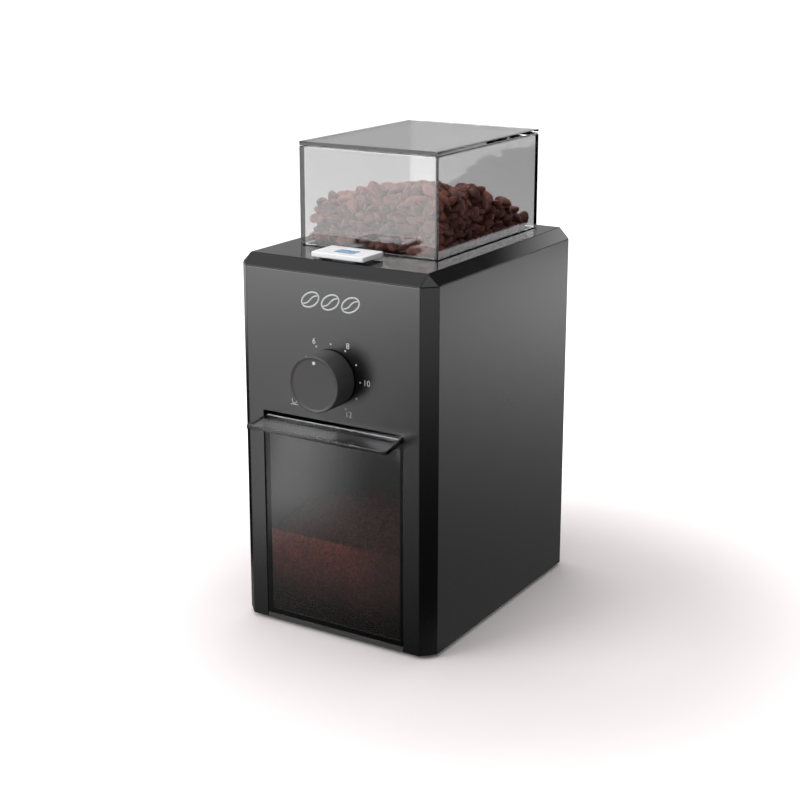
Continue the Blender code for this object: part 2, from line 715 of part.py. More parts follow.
def burr(name, bottom, parent, teeth_up):
    """A flat steel grinding ring with slanting cutting grooves and a breaker bevel at its bore."""
    top = bottom + BURR_THICKNESS
    bevel_depth = 0.0022
    if teeth_up:
        profile = [
            (BURR_RADIUS, top),
            (BURR_RADIUS, bottom),
            (BURR_BORE, bottom),
            (BURR_BORE, top - bevel_depth),
            (BURR_BORE + 0.004, top),
        ]
    else:
        profile = [
            (BURR_RADIUS, top),
            (BURR_RADIUS, bottom),
            (BURR_BORE + 0.004, bottom),
            (BURR_BORE, bottom + bevel_depth),
            (BURR_BORE, top),
        ]
    ring = turned(name, profile, parent, "burr_steel", steps=32, ring=True)
    face = top if teeth_up else bottom
    depth = 0.0008
    grooves = bmesh.new()
    for i in range(BURR_TEETH):
        corner = bmesh.ops.create_cube(grooves, size=1)["verts"]
        bmesh.ops.scale(grooves, vec=(0.020, 0.0011, 2 * depth), verts=corner)
        slant = Matrix.Rotation(math.radians(24), 4, "Z")
        place = Matrix.Rotation(2 * math.pi * i / BURR_TEETH, 4, "Z") @ Matrix.Translation((BURR_RADIUS - 0.0045, 0, face)) @ slant
        bmesh.ops.transform(grooves, matrix=place, verts=corner)
    cut(ring, add(name + "_grooves", mesh_from(grooves, name + "_grooves"), parent))


def make_rotor_of_burrs(spin):
    """Everything that turns with the lower burr."""
    gear_top = GEAR_BOTTOM + GEAR_THICKNESS
    seat = BURR_SHAFT_RADIUS + SEAT_GAP
    rod("burr_shaft", BURR_SHAFT_RADIUS, (0, 0, CHASSIS_BOTTOM + 0.0006), 0.0460, spin, "zinc_steel")
    gear = plate(
        "drive_gear",
        [gear_outline(GEAR_TEETH, 0.85, half_tooth=True), circle(0, 0, seat, 24)],
        GEAR_BOTTOM,
        gear_top,
        spin,
        "gear_nylon",
    )
    for i in range(6):
        angle = math.radians(30 + 60 * i)
        start = (0.0130 * math.cos(angle), 0.0130 * math.sin(angle), GEAR_BOTTOM - 0.005)
        cut(gear, rod(f"gear_hole_{i}", 0.0042, start, 0.02, spin, sides=16))
    carrier_bottom, carrier_top = CHAMBER_FLOOR + 0.0050, LOWER_BURR_TOP - BURR_THICKNESS - SEAT_GAP
    hub_top = LOWER_BURR_TOP - 0.0015
    profile = [
        (0.0105, hub_top),
        (0.0115, carrier_top),
        (BURR_RADIUS + 0.0005, carrier_top),
        (BURR_RADIUS + 0.0005, carrier_bottom),
        (seat, carrier_bottom),
        (seat, hub_top),
    ]
    carrier = turned("lower_burr_carrier", profile, spin, "zinc_steel", steps=32, ring=True)
    for i in range(4):
        paddle = box(
            f"sweeper_{i}", (0.012, -0.0012, carrier_bottom - 0.0014), (BURR_RADIUS + 0.0002, 0.0012, carrier_bottom + 0.001), spin
        )
        paddle.rotation_euler = (0, 0, math.radians(90 * i))
        join(carrier, paddle)
    burr("lower_burr", LOWER_BURR_TOP - BURR_THICKNESS, spin, teeth_up=True)
    make_auger(spin, hub_top + SEAT_GAP)
    cap_bottom = CHASSIS_BOTTOM + 0.0466 + SEAT_GAP
    turned(
        "auger_nut",
        [(0, cap_bottom + 0.003), (0.004, cap_bottom + 0.003), (0.0052, cap_bottom), (0, cap_bottom)],
        spin,
        "zinc_steel",
        steps=6,
    )


def make_auger(spin, bottom):
    """The feed screw over the lower burr: a hub with three twisted vanes that push beans outwards."""
    seat = BURR_SHAFT_RADIUS + SEAT_GAP
    top = CHASSIS_BOTTOM + 0.0466 - 0.0002
    auger = tube("feed_auger", seat, 0.0062, bottom, top, spin, "zinc_steel", 24)
    twist = math.radians(55)
    steps = 5
    for i in range(3):
        rings = []
        for k in range(steps + 1):
            share = k / steps
            z = bottom + 0.0004 + (top - bottom - 0.0008) * share
            angle = 2 * math.pi * i / 3 + twist * share
            reach = 0.0105 - 0.0022 * share
            across = Vector((-math.sin(angle), math.cos(angle), 0)) * 0.0008
            along = Vector((math.cos(angle), math.sin(angle), 0))
            near, far = along * 0.0052 + Vector((0, 0, z)), along * reach + Vector((0, 0, z))
            rings.append([near - across, far - across, far + across, near + across])
        join(auger, loft(f"vane_{i}", rings, spin))


def make_upper_burr(rise):
    """The upper burr and the carrier that lifts it; the bar across the carrier takes it out for cleaning."""
    outer = COLLAR_RADIUS - SLIDE_GAP
    top = RING_TOP + 0.0004
    profile = [
        (outer, top),
        (outer, CARRIER_BOTTOM),
        (BURR_BORE + 0.0005, CARRIER_BOTTOM),
        (BURR_BORE + 0.0020, top),
    ]
    carrier = turned("upper_burr_carrier", profile, rise, "inner_black", steps=32, ring=True)
    reach, lug = COLLAR_RADIUS + 0.0050, LEVER_HEIGHT / 2
    for i, angle in enumerate(lug_directions()):
        key = box(f"lug_{i}", (outer - 0.003, -0.0020, LUG_MIDDLE - lug), (reach, 0.0020, LUG_MIDDLE + lug), rise)
        key.rotation_euler = (0, 0, angle)
        join(carrier, key)
    bar_top = top + 0.0075
    for side in (-1, 1):
        x = sorted((side * (COLLAR_RADIUS - 0.0090), side * (COLLAR_RADIUS - 0.0050)))
        join(carrier, box(f"bar_post_{side}", (x[0], -0.003, top - 0.001), (x[1], 0.003, bar_top), rise))
    join(carrier, box("bar", (0.0070 - COLLAR_RADIUS, -0.003, bar_top - 0.003), (COLLAR_RADIUS - 0.0070, 0.003, bar_top), rise))
    burr("upper_burr", UPPER_BURR_TOP - BURR_THICKNESS, rise, teeth_up=False)


def make_adjuster(swing):
    """The ring that raises the upper burr by three helical slots, with the lever that turns it."""
    ring = tube(
        "adjusting_ring", COLLAR_RADIUS + LINER_WALL + 0.0006, RING_RADIUS, RING_BOTTOM, RING_TOP, swing, "gear_nylon", 48
    )
    pitch = BURR_ADJUST / LEVER_SWING
    spread = LEVER_SWING + math.radians(5.5)
    half_height = LEVER_HEIGHT / 2 + SLIDE_GAP
    near, far = COLLAR_RADIUS - 0.0020, COLLAR_RADIUS + 0.0056
    steps = 8
    for i, direction in enumerate(lug_directions()):
        rings = []
        for k in range(steps + 1):
            angle = -spread + 2 * spread * k / steps
            z = LUG_MIDDLE - pitch * angle
            c, s = math.cos(direction + angle), math.sin(direction + angle)
            corners = ((near, -half_height), (far, -half_height), (far, half_height), (near, half_height))
            rings.append([(r * c, r * s, z + dz) for r, dz in corners])
        cut(ring, loft(f"helical_slot_{i}", rings, swing))
    half = LEVER_HEIGHT / 2
    arm_end = TAB_OUTER - 0.0012
    join(ring, box("lever_arm", (-arm_end, -0.004, LUG_MIDDLE - half), (0.001 - RING_RADIUS, 0.004, LUG_MIDDLE + half), swing))
    tab = box(
        "fineness_tab",
        (-TAB_OUTER, -0.0055, LUG_MIDDLE - 0.0050),
        (-TAB_INNER, 0.0055, LUG_MIDDLE + 0.0050),
        swing,
        "knob_grey",
    )
    gap = SEAT_GAP
    cut(
        tab,
        box(
            "tab_socket",
            (-arm_end - gap, -0.004 - gap, LUG_MIDDLE - half - gap),
            (0.001 - TAB_INNER, 0.004 + gap, LUG_MIDDLE + half + gap),
            swing,
        ),
    )


# ---- gears and motor -----------------------------------------------------------------------------------
def involute(angle):
    return math.tan(angle) - angle


def gear_outline(teeth, addendum, half_tooth=False):
    """The outline of a spur gear with involute flanks. addendum is in modules; half_tooth puts a gap, and
    not a tooth, at the direction of +Y."""
    pitch_radius = GEAR_MODULE * teeth / 2
    base = pitch_radius * math.cos(PRESSURE_ANGLE)
    tip = pitch_radius + addendum * GEAR_MODULE
    root = pitch_radius - 1.25 * GEAR_MODULE
    at_pitch = math.pi / (2 * teeth) - BACKLASH / (2 * pitch_radius)

    def half_angle(radius):
        if radius <= base:
            return at_pitch + involute(PRESSURE_ANGLE)
        return at_pitch + involute(PRESSURE_ANGLE) - involute(math.acos(base / radius))

    lowest = max(root, base)
    radii = [root] + [lowest + (tip - lowest) * k / 3 for k in range(1 if root >= base else 0, 4)]
    points = []
    for i in range(teeth):
        middle = 2 * math.pi * (i + (0.5 if half_tooth else 0)) / teeth
        flank = [(r, half_angle(r)) for r in radii]
        for r, a in flank:
            points.append((r * math.cos(middle - a), r * math.sin(middle - a)))
        for r, a in reversed(flank):
            points.append((r * math.cos(middle + a), r * math.sin(middle + a)))
    return points


def make_chassis(frame):
    """The bracket that carries the motor below and the burr chamber above, on two legs."""
    x, front, back = 0.050, CHUTE_Y[1] + 0.0038, 0.072
    holes = [circle(0, BURR_AXIS_Y, 0.0073, 24), circle(0, MOTOR_AXIS_Y, 0.0080, 24)]
    holes += [circle(0, MOTOR_AXIS_Y + dy, 0.0018, 12) for dy in (-0.0125, 0.0125)]
    chassis = plate(
        "chassis", [rectangle(-x, front, x, back), *holes], CHASSIS_BOTTOM, CHASSIS_TOP, frame, "inner_black"
    )
    bottom = BASE_TOP + SEAT_GAP
    for side in (-1, 1):
        leg = sorted((side * x, side * (x - 0.0025)))
        foot = sorted((side * x, side * (x - 0.012)))
        join(
            chassis,
            box(f"leg_{side}", (leg[0], 0.006, bottom), (leg[1], 0.060, CHASSIS_BOTTOM + 0.001), frame),
            box(f"leg_foot_{side}", (foot[0], 0.006, bottom), (foot[1], 0.060, bottom + 0.003), frame),
        )
    for name, (px, py) in LEG_SCREWS.items():
        cut(chassis, rod("leg_hole_" + name, SCREW_RADIUS + SEAT_GAP, (px, py, 0), 0.02, frame, sides=16))
        screw_piece("leg_screw_" + name, px, py, 0.0005, 0.0085, frame)
    for i, angle in enumerate(math.radians(a) for a in (45, 135, 225, 315)):
        radius = CHAMBER_RADIUS + 0.0065
        start = (radius * math.cos(angle), BURR_AXIS_Y + radius * math.sin(angle), CHASSIS_TOP - 0.001)
        length = CHAMBER_TOP - 0.0025 - SEAT_GAP - start[2]
        join(chassis, rod(f"pillar_{i}", 0.0032, start, length, frame, sides=16))
    lower = tube("burr_bush_lower", BURR_SHAFT_RADIUS + 0.0003, 0.0070, CHASSIS_BOTTOM + 0.0002, CHASSIS_TOP + 0.0015, frame, "bearing_bronze", 24)
    upper = tube("burr_bush_upper", BURR_SHAFT_RADIUS + 0.0003, 0.0072, CHAMBER_FLOOR - 0.002, CHAMBER_FLOOR + 0.0028, frame, "bearing_bronze", 24)
    lower.location = (0, BURR_AXIS_Y, 0)
    upper.location = (0, BURR_AXIS_Y, 0)


LEG_SCREWS = {side: (sx * 0.042, 0.033) for side, sx in (("left", -1), ("right", 1))}


def make_motor(frame, spin):
    """A small direct-current motor: can, magnets, brushes and end cap, and the rotor that turns in them."""
    shaft = MOTOR_SHAFT_RADIUS
    top, bottom = MOTOR_TOP, MOTOR_BOTTOM
    bush_hole = 0.0050
    can = turned(
        "motor_can",
        [
            (0.0075, top + 0.0020),
            (0.0075, top),
            (MOTOR_RADIUS - 0.0015, top),
            (MOTOR_RADIUS, top - 0.0015),
            (MOTOR_RADIUS, bottom),
            (MOTOR_RADIUS - CAN_WALL, bottom),
            (MOTOR_RADIUS - CAN_WALL, top - CAN_WALL),
            (bush_hole, top - CAN_WALL),
            (bush_hole, top + 0.0020),
        ],
        frame,
        "zinc_steel",
        steps=40,
        ring=True,
    )
    can.location = (0, MOTOR_AXIS_Y, 0)
    bush = tube("motor_bush_top", shaft + 0.0003, bush_hole - SEAT_GAP, top - CAN_WALL - 0.002, top + 0.0018, frame, "bearing_bronze", 24)
    bush.location = can.location
    magnet_radii = (0.0205, MOTOR_RADIUS - CAN_WALL - SEAT_GAP)
    for name, middle in (("left", math.pi), ("right", 0)):
        spread = math.radians(62)
        edge = arc(magnet_radii[1], middle - spread, middle + spread, 10)
        edge += arc(magnet_radii[0], middle + spread, middle - spread, 10)
        magnet = plate("motor_magnet_" + name, [edge], bottom + 0.016, top - 0.012, frame, "magnet_ferrite")
        magnet.location = can.location
    cap_bottom = bottom - 0.0035
    cap = turned(
        "motor_end_cap",
        [
            (MOTOR_RADIUS - CAN_WALL - SEAT_GAP, bottom + 0.004),
            (MOTOR_RADIUS - CAN_WALL - SEAT_GAP, bottom - SEAT_GAP),
            (MOTOR_RADIUS, bottom - SEAT_GAP),
            (MOTOR_RADIUS, cap_bottom),
            (shaft + 0.0003, cap_bottom),
            (shaft + 0.0003, bottom + 0.001),
            (0.0060, bottom + 0.001),
            (0.0060, bottom),
            (0.0195, bottom),
            (0.0195, bottom + 0.004),
        ],
        frame,
        "inner_black",
        steps=40,
        ring=True,
    )
    cap.location = can.location
    for i in range(4):
        angle = math.radians(45 + 90 * i)
        start = (0.0135 * math.cos(angle), 0.0135 * math.sin(angle) + MOTOR_AXIS_Y, cap_bottom - 0.005)
        cut(cap, rod(f"cap_vent_{i}", 0.0032, start, 0.02, frame, sides=12))
    commutator_radius = 0.0058
    for name, side in (("left", -1), ("right", 1)):
        x = sorted((side * (commutator_radius + 0.0003), side * 0.0150))
        brush = box("carbon_brush_" + name, (x[0], -0.002, bottom + 0.0045), (x[1], 0.002, bottom + 0.0085), frame, "magnet_ferrite")
        brush.location = can.location
    make_armature(spin, bottom, top, commutator_radius)


def make_armature(spin, bottom, top, commutator_radius):
    shaft = MOTOR_SHAFT_RADIUS
    seat = shaft + SEAT_GAP
    pinion_top = GEAR_BOTTOM + GEAR_THICKNESS + 0.0008
    fan_top = bottom - 0.0045
    rod("motor_shaft", shaft, (0, 0, fan_top - 0.009), pinion_top + 0.0004 - fan_top + 0.009, spin, "zinc_steel")
    plate(
        "motor_pinion",
        [gear_outline(PINION_TEETH, 1.0), circle(0, 0, seat, 16)],
        GEAR_BOTTOM - 0.0008,
        pinion_top,
        spin,
        "zinc_steel",
    )
    slots, core = 8, 0.0195
    edge = []
    for i in range(slots):
        middle = 2 * math.pi * i / slots
        for r, a in ((0.0115, 19.5), (0.0175, 9.5), (0.0175, 20.5), (core, 20.5)):
            edge.append((r * math.cos(middle - math.radians(a)), r * math.sin(middle - math.radians(a))))
        edge.append((core * math.cos(middle), core * math.sin(middle)))
        for r, a in ((core, 20.5), (0.0175, 20.5), (0.0175, 9.5), (0.0115, 19.5)):
            edge.append((r * math.cos(middle + math.radians(a)), r * math.sin(middle + math.radians(a))))
    low, high = bottom + 0.020, top - 0.016
    plate("armature_core", [edge, circle(0, 0, seat, 16)], low, high, spin, "zinc_steel")
    for name, z0, z1 in (("top", high + SEAT_GAP, high + 0.006), ("bottom", low - 0.006, low - SEAT_GAP)):
        edge = 0.0012
        profile = [
            (0.0165 - edge, z1),
            (0.0165, z1 - edge),
            (0.0165, z0 + edge),
            (0.0165 - edge, z0),
            (0.0075, z0),
            (0.0075, z1),
        ]
        turned("winding_" + name, profile, spin, "winding_copper", steps=24, ring=True)
    tube("commutator", seat, commutator_radius, bottom + 0.0035, bottom + 0.0100, spin, "winding_copper", 24)
    fan = tube("cooling_fan", seat, 0.0055, fan_top - 0.008, fan_top, spin, "gear_nylon", 20)
    for i in range(7):
        blade = box(f"blade_{i}", (0.0045, -0.0005, -0.0030), (0.0200, 0.0005, 0.0030), spin)
        blade.location = (0, 0, fan_top - 0.004)
        blade.rotation_mode = "ZXY"
        blade.rotation_euler = (math.radians(35), 0, 2 * math.pi * i / 7)
        blade.matrix_basis = Matrix.Translation((0, 0, fan_top - 0.004)) @ Matrix.Rotation(
            2 * math.pi * i / 7, 4, "Z"
        ) @ Matrix.Rotation(math.radians(35), 4, "X")
        join(fan, blade)


# ---- controls ------------------------------------------------------------------------------------------
def make_dial(dial):
    """The quantity knob and the timer's shaft. The dial's frame has its Z along the axis, out of the front."""
    edge, wall, bore = 0.0010, 0.0018, DIAL_SHAFT_RADIUS + SEAT_GAP
    face = KNOB_REACH
    hub_face = face - 0.0060
    profile = [(0, face)]
    for k in range(4):
        angle = math.pi / 2 * k / 3
        profile.append((KNOB_RADIUS - edge + edge * math.sin(angle), face - edge + edge * math.cos(angle)))
    profile += [
        (KNOB_RADIUS + 0.0002, KNOB_GAP),
        (KNOB_RADIUS - wall, KNOB_GAP),
        (KNOB_RADIUS - wall, face - 0.0025),
        (0.0055, face - 0.0025),
        (0.0055, KNOB_GAP + 0.001),
        (bore, KNOB_GAP + 0.001),
        (bore, hub_face + 0.0010),
        (0, hub_face + 0.0010),
    ]
    turned("quantity_knob", profile, dial, "knob_grey", steps=36)
    depth = BOARD_FRONT - FRONT - 0.0085
    rod("dial_shaft", DIAL_SHAFT_RADIUS, (0, 0, -depth), depth + hub_face + 0.0006, dial, "zinc_steel")


def make_timer(frame):
    """The timer board behind the front panel, with the potentiometer that the knob turns."""
    y0, y1 = BOARD_FRONT, BOARD_FRONT + BOARD_THICKNESS
    low, high = DIAL_HEIGHT - 0.017, DIAL_HEIGHT + 0.043
    box("timer_board", (-0.033, y0, low), (0.033, y1, high), frame, "board_green")
    for i, (x, z) in enumerate(BOARD_POSTS):
        screw = screw_piece(f"board_screw_{i + 1}", x, 0, 0, 0.008, frame)
        screw.rotation_euler = (math.pi / 2, 0, 0)
        screw.location = (x, y1 + SEAT_GAP + 0.0012, z)
        hole_start = (x, BOARD_FRONT - 0.008, z)
        cut(bpy.data.objects["timer_board"], rod(f"board_hole_{i}", 0.0018, hole_start, 0.02, frame, axis="Y", sides=12))
        cut(bpy.data.objects["main_housing"], rod(f"post_pilot_{i}", 0.0017, hole_start, 0.02, frame, axis="Y", sides=12))
    pot_front = y0 - SEAT_GAP - 0.0085
    bush = DIAL_SHAFT_RADIUS + SLIDE_GAP
    pot = turned(
        "potentiometer",
        [
            (0.0046, -pot_front + 0.005),
            (0.0046, -pot_front),
            (0.0085, -pot_front),
            (0.0085, -y0 + SEAT_GAP),
            (0, -y0 + SEAT_GAP),
            (0, -y0 + SEAT_GAP + 0.0010),
            (bush, -y0 + SEAT_GAP + 0.0010),
            (bush, -pot_front + 0.005),
        ],
        frame,
        "gear_nylon",
        steps=24,
    )
    pot_profile_close(pot)
    pot.location = (0, 0, DIAL_HEIGHT)
    pot.rotation_euler = (math.pi / 2, 0, 0)
    back = y1 + SEAT_GAP
    box("timer_relay", (-0.026, back, low + 0.010), (-0.008, back + 0.011, low + 0.025), frame, "lens_blue")


def pot_profile_close(pot):
    """The potentiometer's profile leaves the axis and comes back to its rim, so its last point joins its first."""
    mesh = pot.data
    points = [vertex.co.copy() for vertex in mesh.vertices]
    materials = list(mesh.materials)
    closed = bpy.data.meshes.new(mesh.name)
    count = len(points)
    closed.from_pydata(points, [(i, (i + 1) % count) for i in range(count) if i != 4], [])
    for finish in materials:
        closed.materials.append(finish)
    pot.data = closed


def make_button(press, frame):
    """The start button. Its frame is at its middle, at the height where the plate's underside rests."""
    x, y = BUTTON_WIDTH / 2, BUTTON_LENGTH / 2
    top = BUTTON_THICKNESS
    button = box("start_button", (-x, -y, 0), (x, y, top), press, "button_white")
    bevel(button, 0.0005)
    stem_x, stem_y = BUTTON_STEM[0] / 2, BUTTON_STEM[1] / 2
    stem_bottom = BUTTON_STEM_BOTTOM - BUTTON_BOTTOM
    pin_bottom = BRACKET_BOTTOM + 0.0010 - BUTTON_BOTTOM
    join(
        button,
        box("button_stem", (-stem_x, -stem_y, stem_bottom), (stem_x, stem_y, 0.0008), press),
        rod("button_pin", BUTTON_PIN_RADIUS, (0, 0, pin_bottom), stem_bottom + 0.001 - pin_bottom, press, sides=16),
    )
    lens_x, lens_y = LENS_SIZE[0] / 2, LENS_SIZE[1] / 2
    pocket = top - 0.0018
    gap = SEAT_GAP
    cut(button, box("lens_pocket", (-lens_x - gap, -lens_y - gap, pocket), (lens_x + gap, lens_y + gap, top + 0.01), press))
    box("button_lens", (-lens_x, -lens_y, pocket + gap), (lens_x, lens_y, top - 0.00005), press, "lens_blue")

    bracket = box(
        "switch_bracket",
        (-POST_X - 0.004, BUTTON_Y - 0.0052, BRACKET_BOTTOM),
        (POST_X + 0.004, BUTTON_Y + 0.0052, BRACKET_TOP),
        frame,
        "zinc_steel",
    )
    cut(bracket, rod("pin_hole", BUTTON_PIN_RADIUS + SLIDE_GAP, (0, BUTTON_Y, BRACKET_BOTTOM - 0.01), 0.02, frame, sides=16))
    for name, side in (("left", -1), ("right", 1)):
        place = (side * POST_X, BUTTON_Y, BRACKET_BOTTOM - 0.01)
        cut(bracket, rod(f"bracket_hole_{name}", 0.0012 + SEAT_GAP, place, 0.02, frame, sides=12))
    switch_top = BRACKET_BOTTOM - SEAT_GAP
    switch = box(
        "start_switch", (-0.0085, BUTTON_Y - 0.0032, switch_top - 0.0125), (0.0085, BUTTON_Y + 0.0032, switch_top), frame, "inner_black"
    )
    cut(switch, rod("plunger_hole", 0.0013, (0, BUTTON_Y, switch_top - 0.0060), 0.01, frame, sides=12))
    coil_radius, wire = 0.0031, 0.0003
    bottom, top = BRACKET_TOP + SEAT_GAP + wire, BUTTON_STEM_BOTTOM - SEAT_GAP - wire
    spring(coil_radius, wire, bottom, top, 4.5, frame)


def spring(radius, wire, bottom, top, turns, frame):
    curve = bpy.data.curves.new("button_spring", "CURVE")
    curve.dimensions = "3D"
    curve.bevel_depth = wire
    curve.bevel_resolution = 1
    curve.use_fill_caps = True
    count = int(turns * 12)
    spline = curve.splines.new("POLY")
    spline.points.add(count)
    for k, point in enumerate(spline.points):
        angle = 2 * math.pi * turns * k / count
        z = bottom + (top - bottom) * k / count
        point.co = (radius * math.cos(angle), radius * math.sin(angle), z, 1)
    obj = bpy.data.objects.new("button_spring", curve)
    curve.materials.append(material("zinc_steel"))
    PARTS.objects.link(obj)
    obj.parent = frame
    obj.location = (0, BUTTON_Y, 0)


# ---- the whole machine ---------------------------------------------------------------------------------
def main():
    frame = empty("grinder_frame", FRAME_SHIFT)
    lid_lift = empty("lid_lift", (0, 0, 0), frame)
    container_slide = empty("container_slide", (0, 0, 0), frame)
    burr_spin = empty("burr_spin", (0, BURR_AXIS_Y, 0), frame)
    motor_spin = empty("motor_spin", (0, MOTOR_AXIS_Y, 0), frame)
    burr_rise = empty("burr_rise", (0, BURR_AXIS_Y, 0), frame)
    lever_swing = empty("lever_swing", (0, BURR_AXIS_Y, 0), frame)
    button_press = empty("button_press", (0, BUTTON_Y, BUTTON_BOTTOM), frame)
    dial_turn = empty("dial_turn", (0, FRONT, DIAL_HEIGHT), frame)
    dial_turn.rotation_euler = (math.pi / 2, 0, 0)

    make_housing(frame)
    make_base(frame)
    make_gland(frame)
    make_deck(frame)
    make_hopper(frame, lid_lift)
    make_funnel(frame)
    make_bay(frame)
    make_container(container_slide)
    make_chamber(frame)
    make_chute(frame)
    make_rotor_of_burrs(burr_spin)
    make_upper_burr(burr_rise)
    make_adjuster(lever_swing)
    make_chassis(frame)
    make_motor(frame, motor_spin)
    make_dial(dial_turn)
    make_timer(frame)
    make_button(button_press, frame)


clear_scene()
PARTS = new_collection("burr_coffee_grinder")
CUTTERS = new_collection("cutters")
main()
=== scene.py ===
"""The finished look of a burr coffee grinder on its frame: shells, clear parts, dial, coffee, mechanism."""

import math

import bmesh
import bpy
import numpy as np
from mathutils import Euler, Matrix, Vector, noise


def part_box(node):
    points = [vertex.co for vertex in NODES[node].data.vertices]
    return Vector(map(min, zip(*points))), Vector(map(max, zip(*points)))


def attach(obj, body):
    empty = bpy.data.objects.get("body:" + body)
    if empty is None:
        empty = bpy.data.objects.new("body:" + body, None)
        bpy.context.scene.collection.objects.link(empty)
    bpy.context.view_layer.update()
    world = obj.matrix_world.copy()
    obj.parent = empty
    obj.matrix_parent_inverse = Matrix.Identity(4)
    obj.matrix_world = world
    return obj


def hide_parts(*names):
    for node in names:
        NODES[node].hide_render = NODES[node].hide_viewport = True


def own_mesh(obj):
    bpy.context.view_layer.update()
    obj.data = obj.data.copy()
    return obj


bl_info = {
    "name": "Burr Coffee Grinder",
    "version": (1, 0, 0),
    "blender": (4, 5, 0),
    "location": "View3D > Sidebar > Grinder",
    "description": "Builds the outer shells, clear parts, controls and mechanism of a burr coffee grinder",
    "category": "Object",
}

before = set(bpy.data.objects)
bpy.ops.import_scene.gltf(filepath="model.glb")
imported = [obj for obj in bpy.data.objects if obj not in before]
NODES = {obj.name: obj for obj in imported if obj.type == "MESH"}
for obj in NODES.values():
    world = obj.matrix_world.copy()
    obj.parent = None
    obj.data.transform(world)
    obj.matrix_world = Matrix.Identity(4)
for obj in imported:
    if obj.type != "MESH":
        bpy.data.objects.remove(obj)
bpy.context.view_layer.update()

MACHINE = "machine"
HOUSING_LOW, HOUSING_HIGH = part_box("main_housing")
MIDDLE = Vector(((HOUSING_LOW.x + HOUSING_HIGH.x) / 2, (HOUSING_LOW.y + HOUSING_HIGH.y) / 2, 0))
FRONT = HOUSING_LOW.y
MM = 0.001


# ---- settings ------------------------------------------------------------------------------------------
class GrinderShellSettings(bpy.types.PropertyGroup):
    """Sizes and colours of the outer shells."""

    corner_cut: bpy.props.FloatProperty(
        name="Corner Cut", description="Width of the cut on each upright corner", default=7 * MM, unit="LENGTH"
    )
    wall: bpy.props.FloatProperty(
        name="Wall", description="Thickness of the shells", default=2.5 * MM, unit="LENGTH"
    )
    edge_radius: bpy.props.FloatProperty(
        name="Edge Radius", description="Rounding of the moulded edges", default=0.35 * MM, unit="LENGTH"
    )
    shell_colour: bpy.props.FloatVectorProperty(
        name="Shell", description="Satin plastic of the housing",
        default=(0.0018, 0.0018, 0.0019), size=3, subtype="COLOR",
    )
    deck_colour: bpy.props.FloatVectorProperty(
        name="Deck", description="Polished plastic of the deck",
        default=(0.004, 0.004, 0.0045), size=3, subtype="COLOR",
    )


class GrinderClearSettings(bpy.types.PropertyGroup):
    """Sizes and tint of the clear mouldings."""

    wall: bpy.props.FloatProperty(
        name="Wall", description="Thickness of the clear walls", default=2.2 * MM, unit="LENGTH"
    )
    smoke: bpy.props.FloatVectorProperty(
        name="Smoke", description="Tint of the clear plastic",
        default=(0.85, 0.85, 0.855), size=3, subtype="COLOR",
    )


class GrinderControlSettings(bpy.types.PropertyGroup):
    """The knob, its scale and the button."""

    knob_colour: bpy.props.FloatVectorProperty(
        name="Knob", description="Soft plastic of the knob",
        default=(0.058, 0.055, 0.055), size=3, subtype="COLOR",
    )
    print_colour: bpy.props.FloatVectorProperty(
        name="Print", description="Ink of the scale",
        default=(0.75, 0.75, 0.75), size=3, subtype="COLOR",
    )
    button_colour: bpy.props.FloatVectorProperty(
        name="Button", description="Plastic of the button",
        default=(0.87, 0.88, 0.89), size=3, subtype="COLOR",
    )
    window_colour: bpy.props.FloatVectorProperty(
        name="Window", description="Lens in the button",
        default=(0.010, 0.25, 0.47), size=3, subtype="COLOR",
    )
    scale_radius: bpy.props.FloatProperty(
        name="Scale Radius", description="Radius of the ring of dots", default=17.8 * MM, unit="LENGTH"
    )


class GrinderCoffeeSettings(bpy.types.PropertyGroup):
    """The beans and the ground coffee."""

    bean_length: bpy.props.FloatProperty(
        name="Bean Length", description="Length of one bean", default=10.2 * MM, unit="LENGTH"
    )
    bean_colour: bpy.props.FloatVectorProperty(
        name="Bean", description="Roasted bean",
        default=(0.155, 0.050, 0.036), size=3, subtype="COLOR",
    )
    ground_colour: bpy.props.FloatVectorProperty(
        name="Ground", description="Ground coffee",
        default=(0.125, 0.026, 0.016), size=3, subtype="COLOR",
    )
    seed: bpy.props.IntProperty(name="Seed", description="Start of the random arrangement", default=7)


def settings(name):
    return getattr(bpy.context.scene, "grinder_" + name)


# ---- shader groups -------------------------------------------------------------------------------------
FLOAT, COLOUR = "NodeSocketFloat", "NodeSocketColor"


def shader_group(name, inputs, outputs):
    """A shader node group with named sockets, given as {name: default} and {name: socket type}."""
    group = bpy.data.node_groups.new(name, "ShaderNodeTree")
    for label, value in inputs.items():
        kind = COLOUR if isinstance(value, tuple) else FLOAT
        socket = group.interface.new_socket(label, in_out="INPUT", socket_type=kind)
        socket.default_value = value
    for label, kind in outputs.items():
        group.interface.new_socket(label, in_out="OUTPUT", socket_type=kind)
    return group, group.nodes.new("NodeGroupInput"), group.nodes.new("NodeGroupOutput")


def give(tree, socket, value):
    """Feeds a socket from another node, or sets it to a plain value. A colour gets an alpha of one."""
    if isinstance(value, bpy.types.NodeSocket):
        tree.links.new(value, socket)
    else:
        socket.default_value = (*tuple(value)[:3], 1) if hasattr(value, "__len__") else value


def feed(tree, inputs, **values):
    """Gives each named input its value. An underscore in a name stands for a space."""
    for label, value in values.items():
        give(tree, inputs[label.replace("_", " ")], value)


def texture_node(tree, kind, scale, coordinates, **values):
    node = tree.nodes.new(kind)
    feed(tree, node.inputs, Scale=scale, Vector=coordinates, **values)
    return node


def math_node(tree, operation, *values, clamp=False):
    node = tree.nodes.new("ShaderNodeMath")
    node.operation = operation
    node.use_clamp = clamp
    for socket, value in zip(node.inputs, values):
        give(tree, socket, value)
    return node.outputs[0]


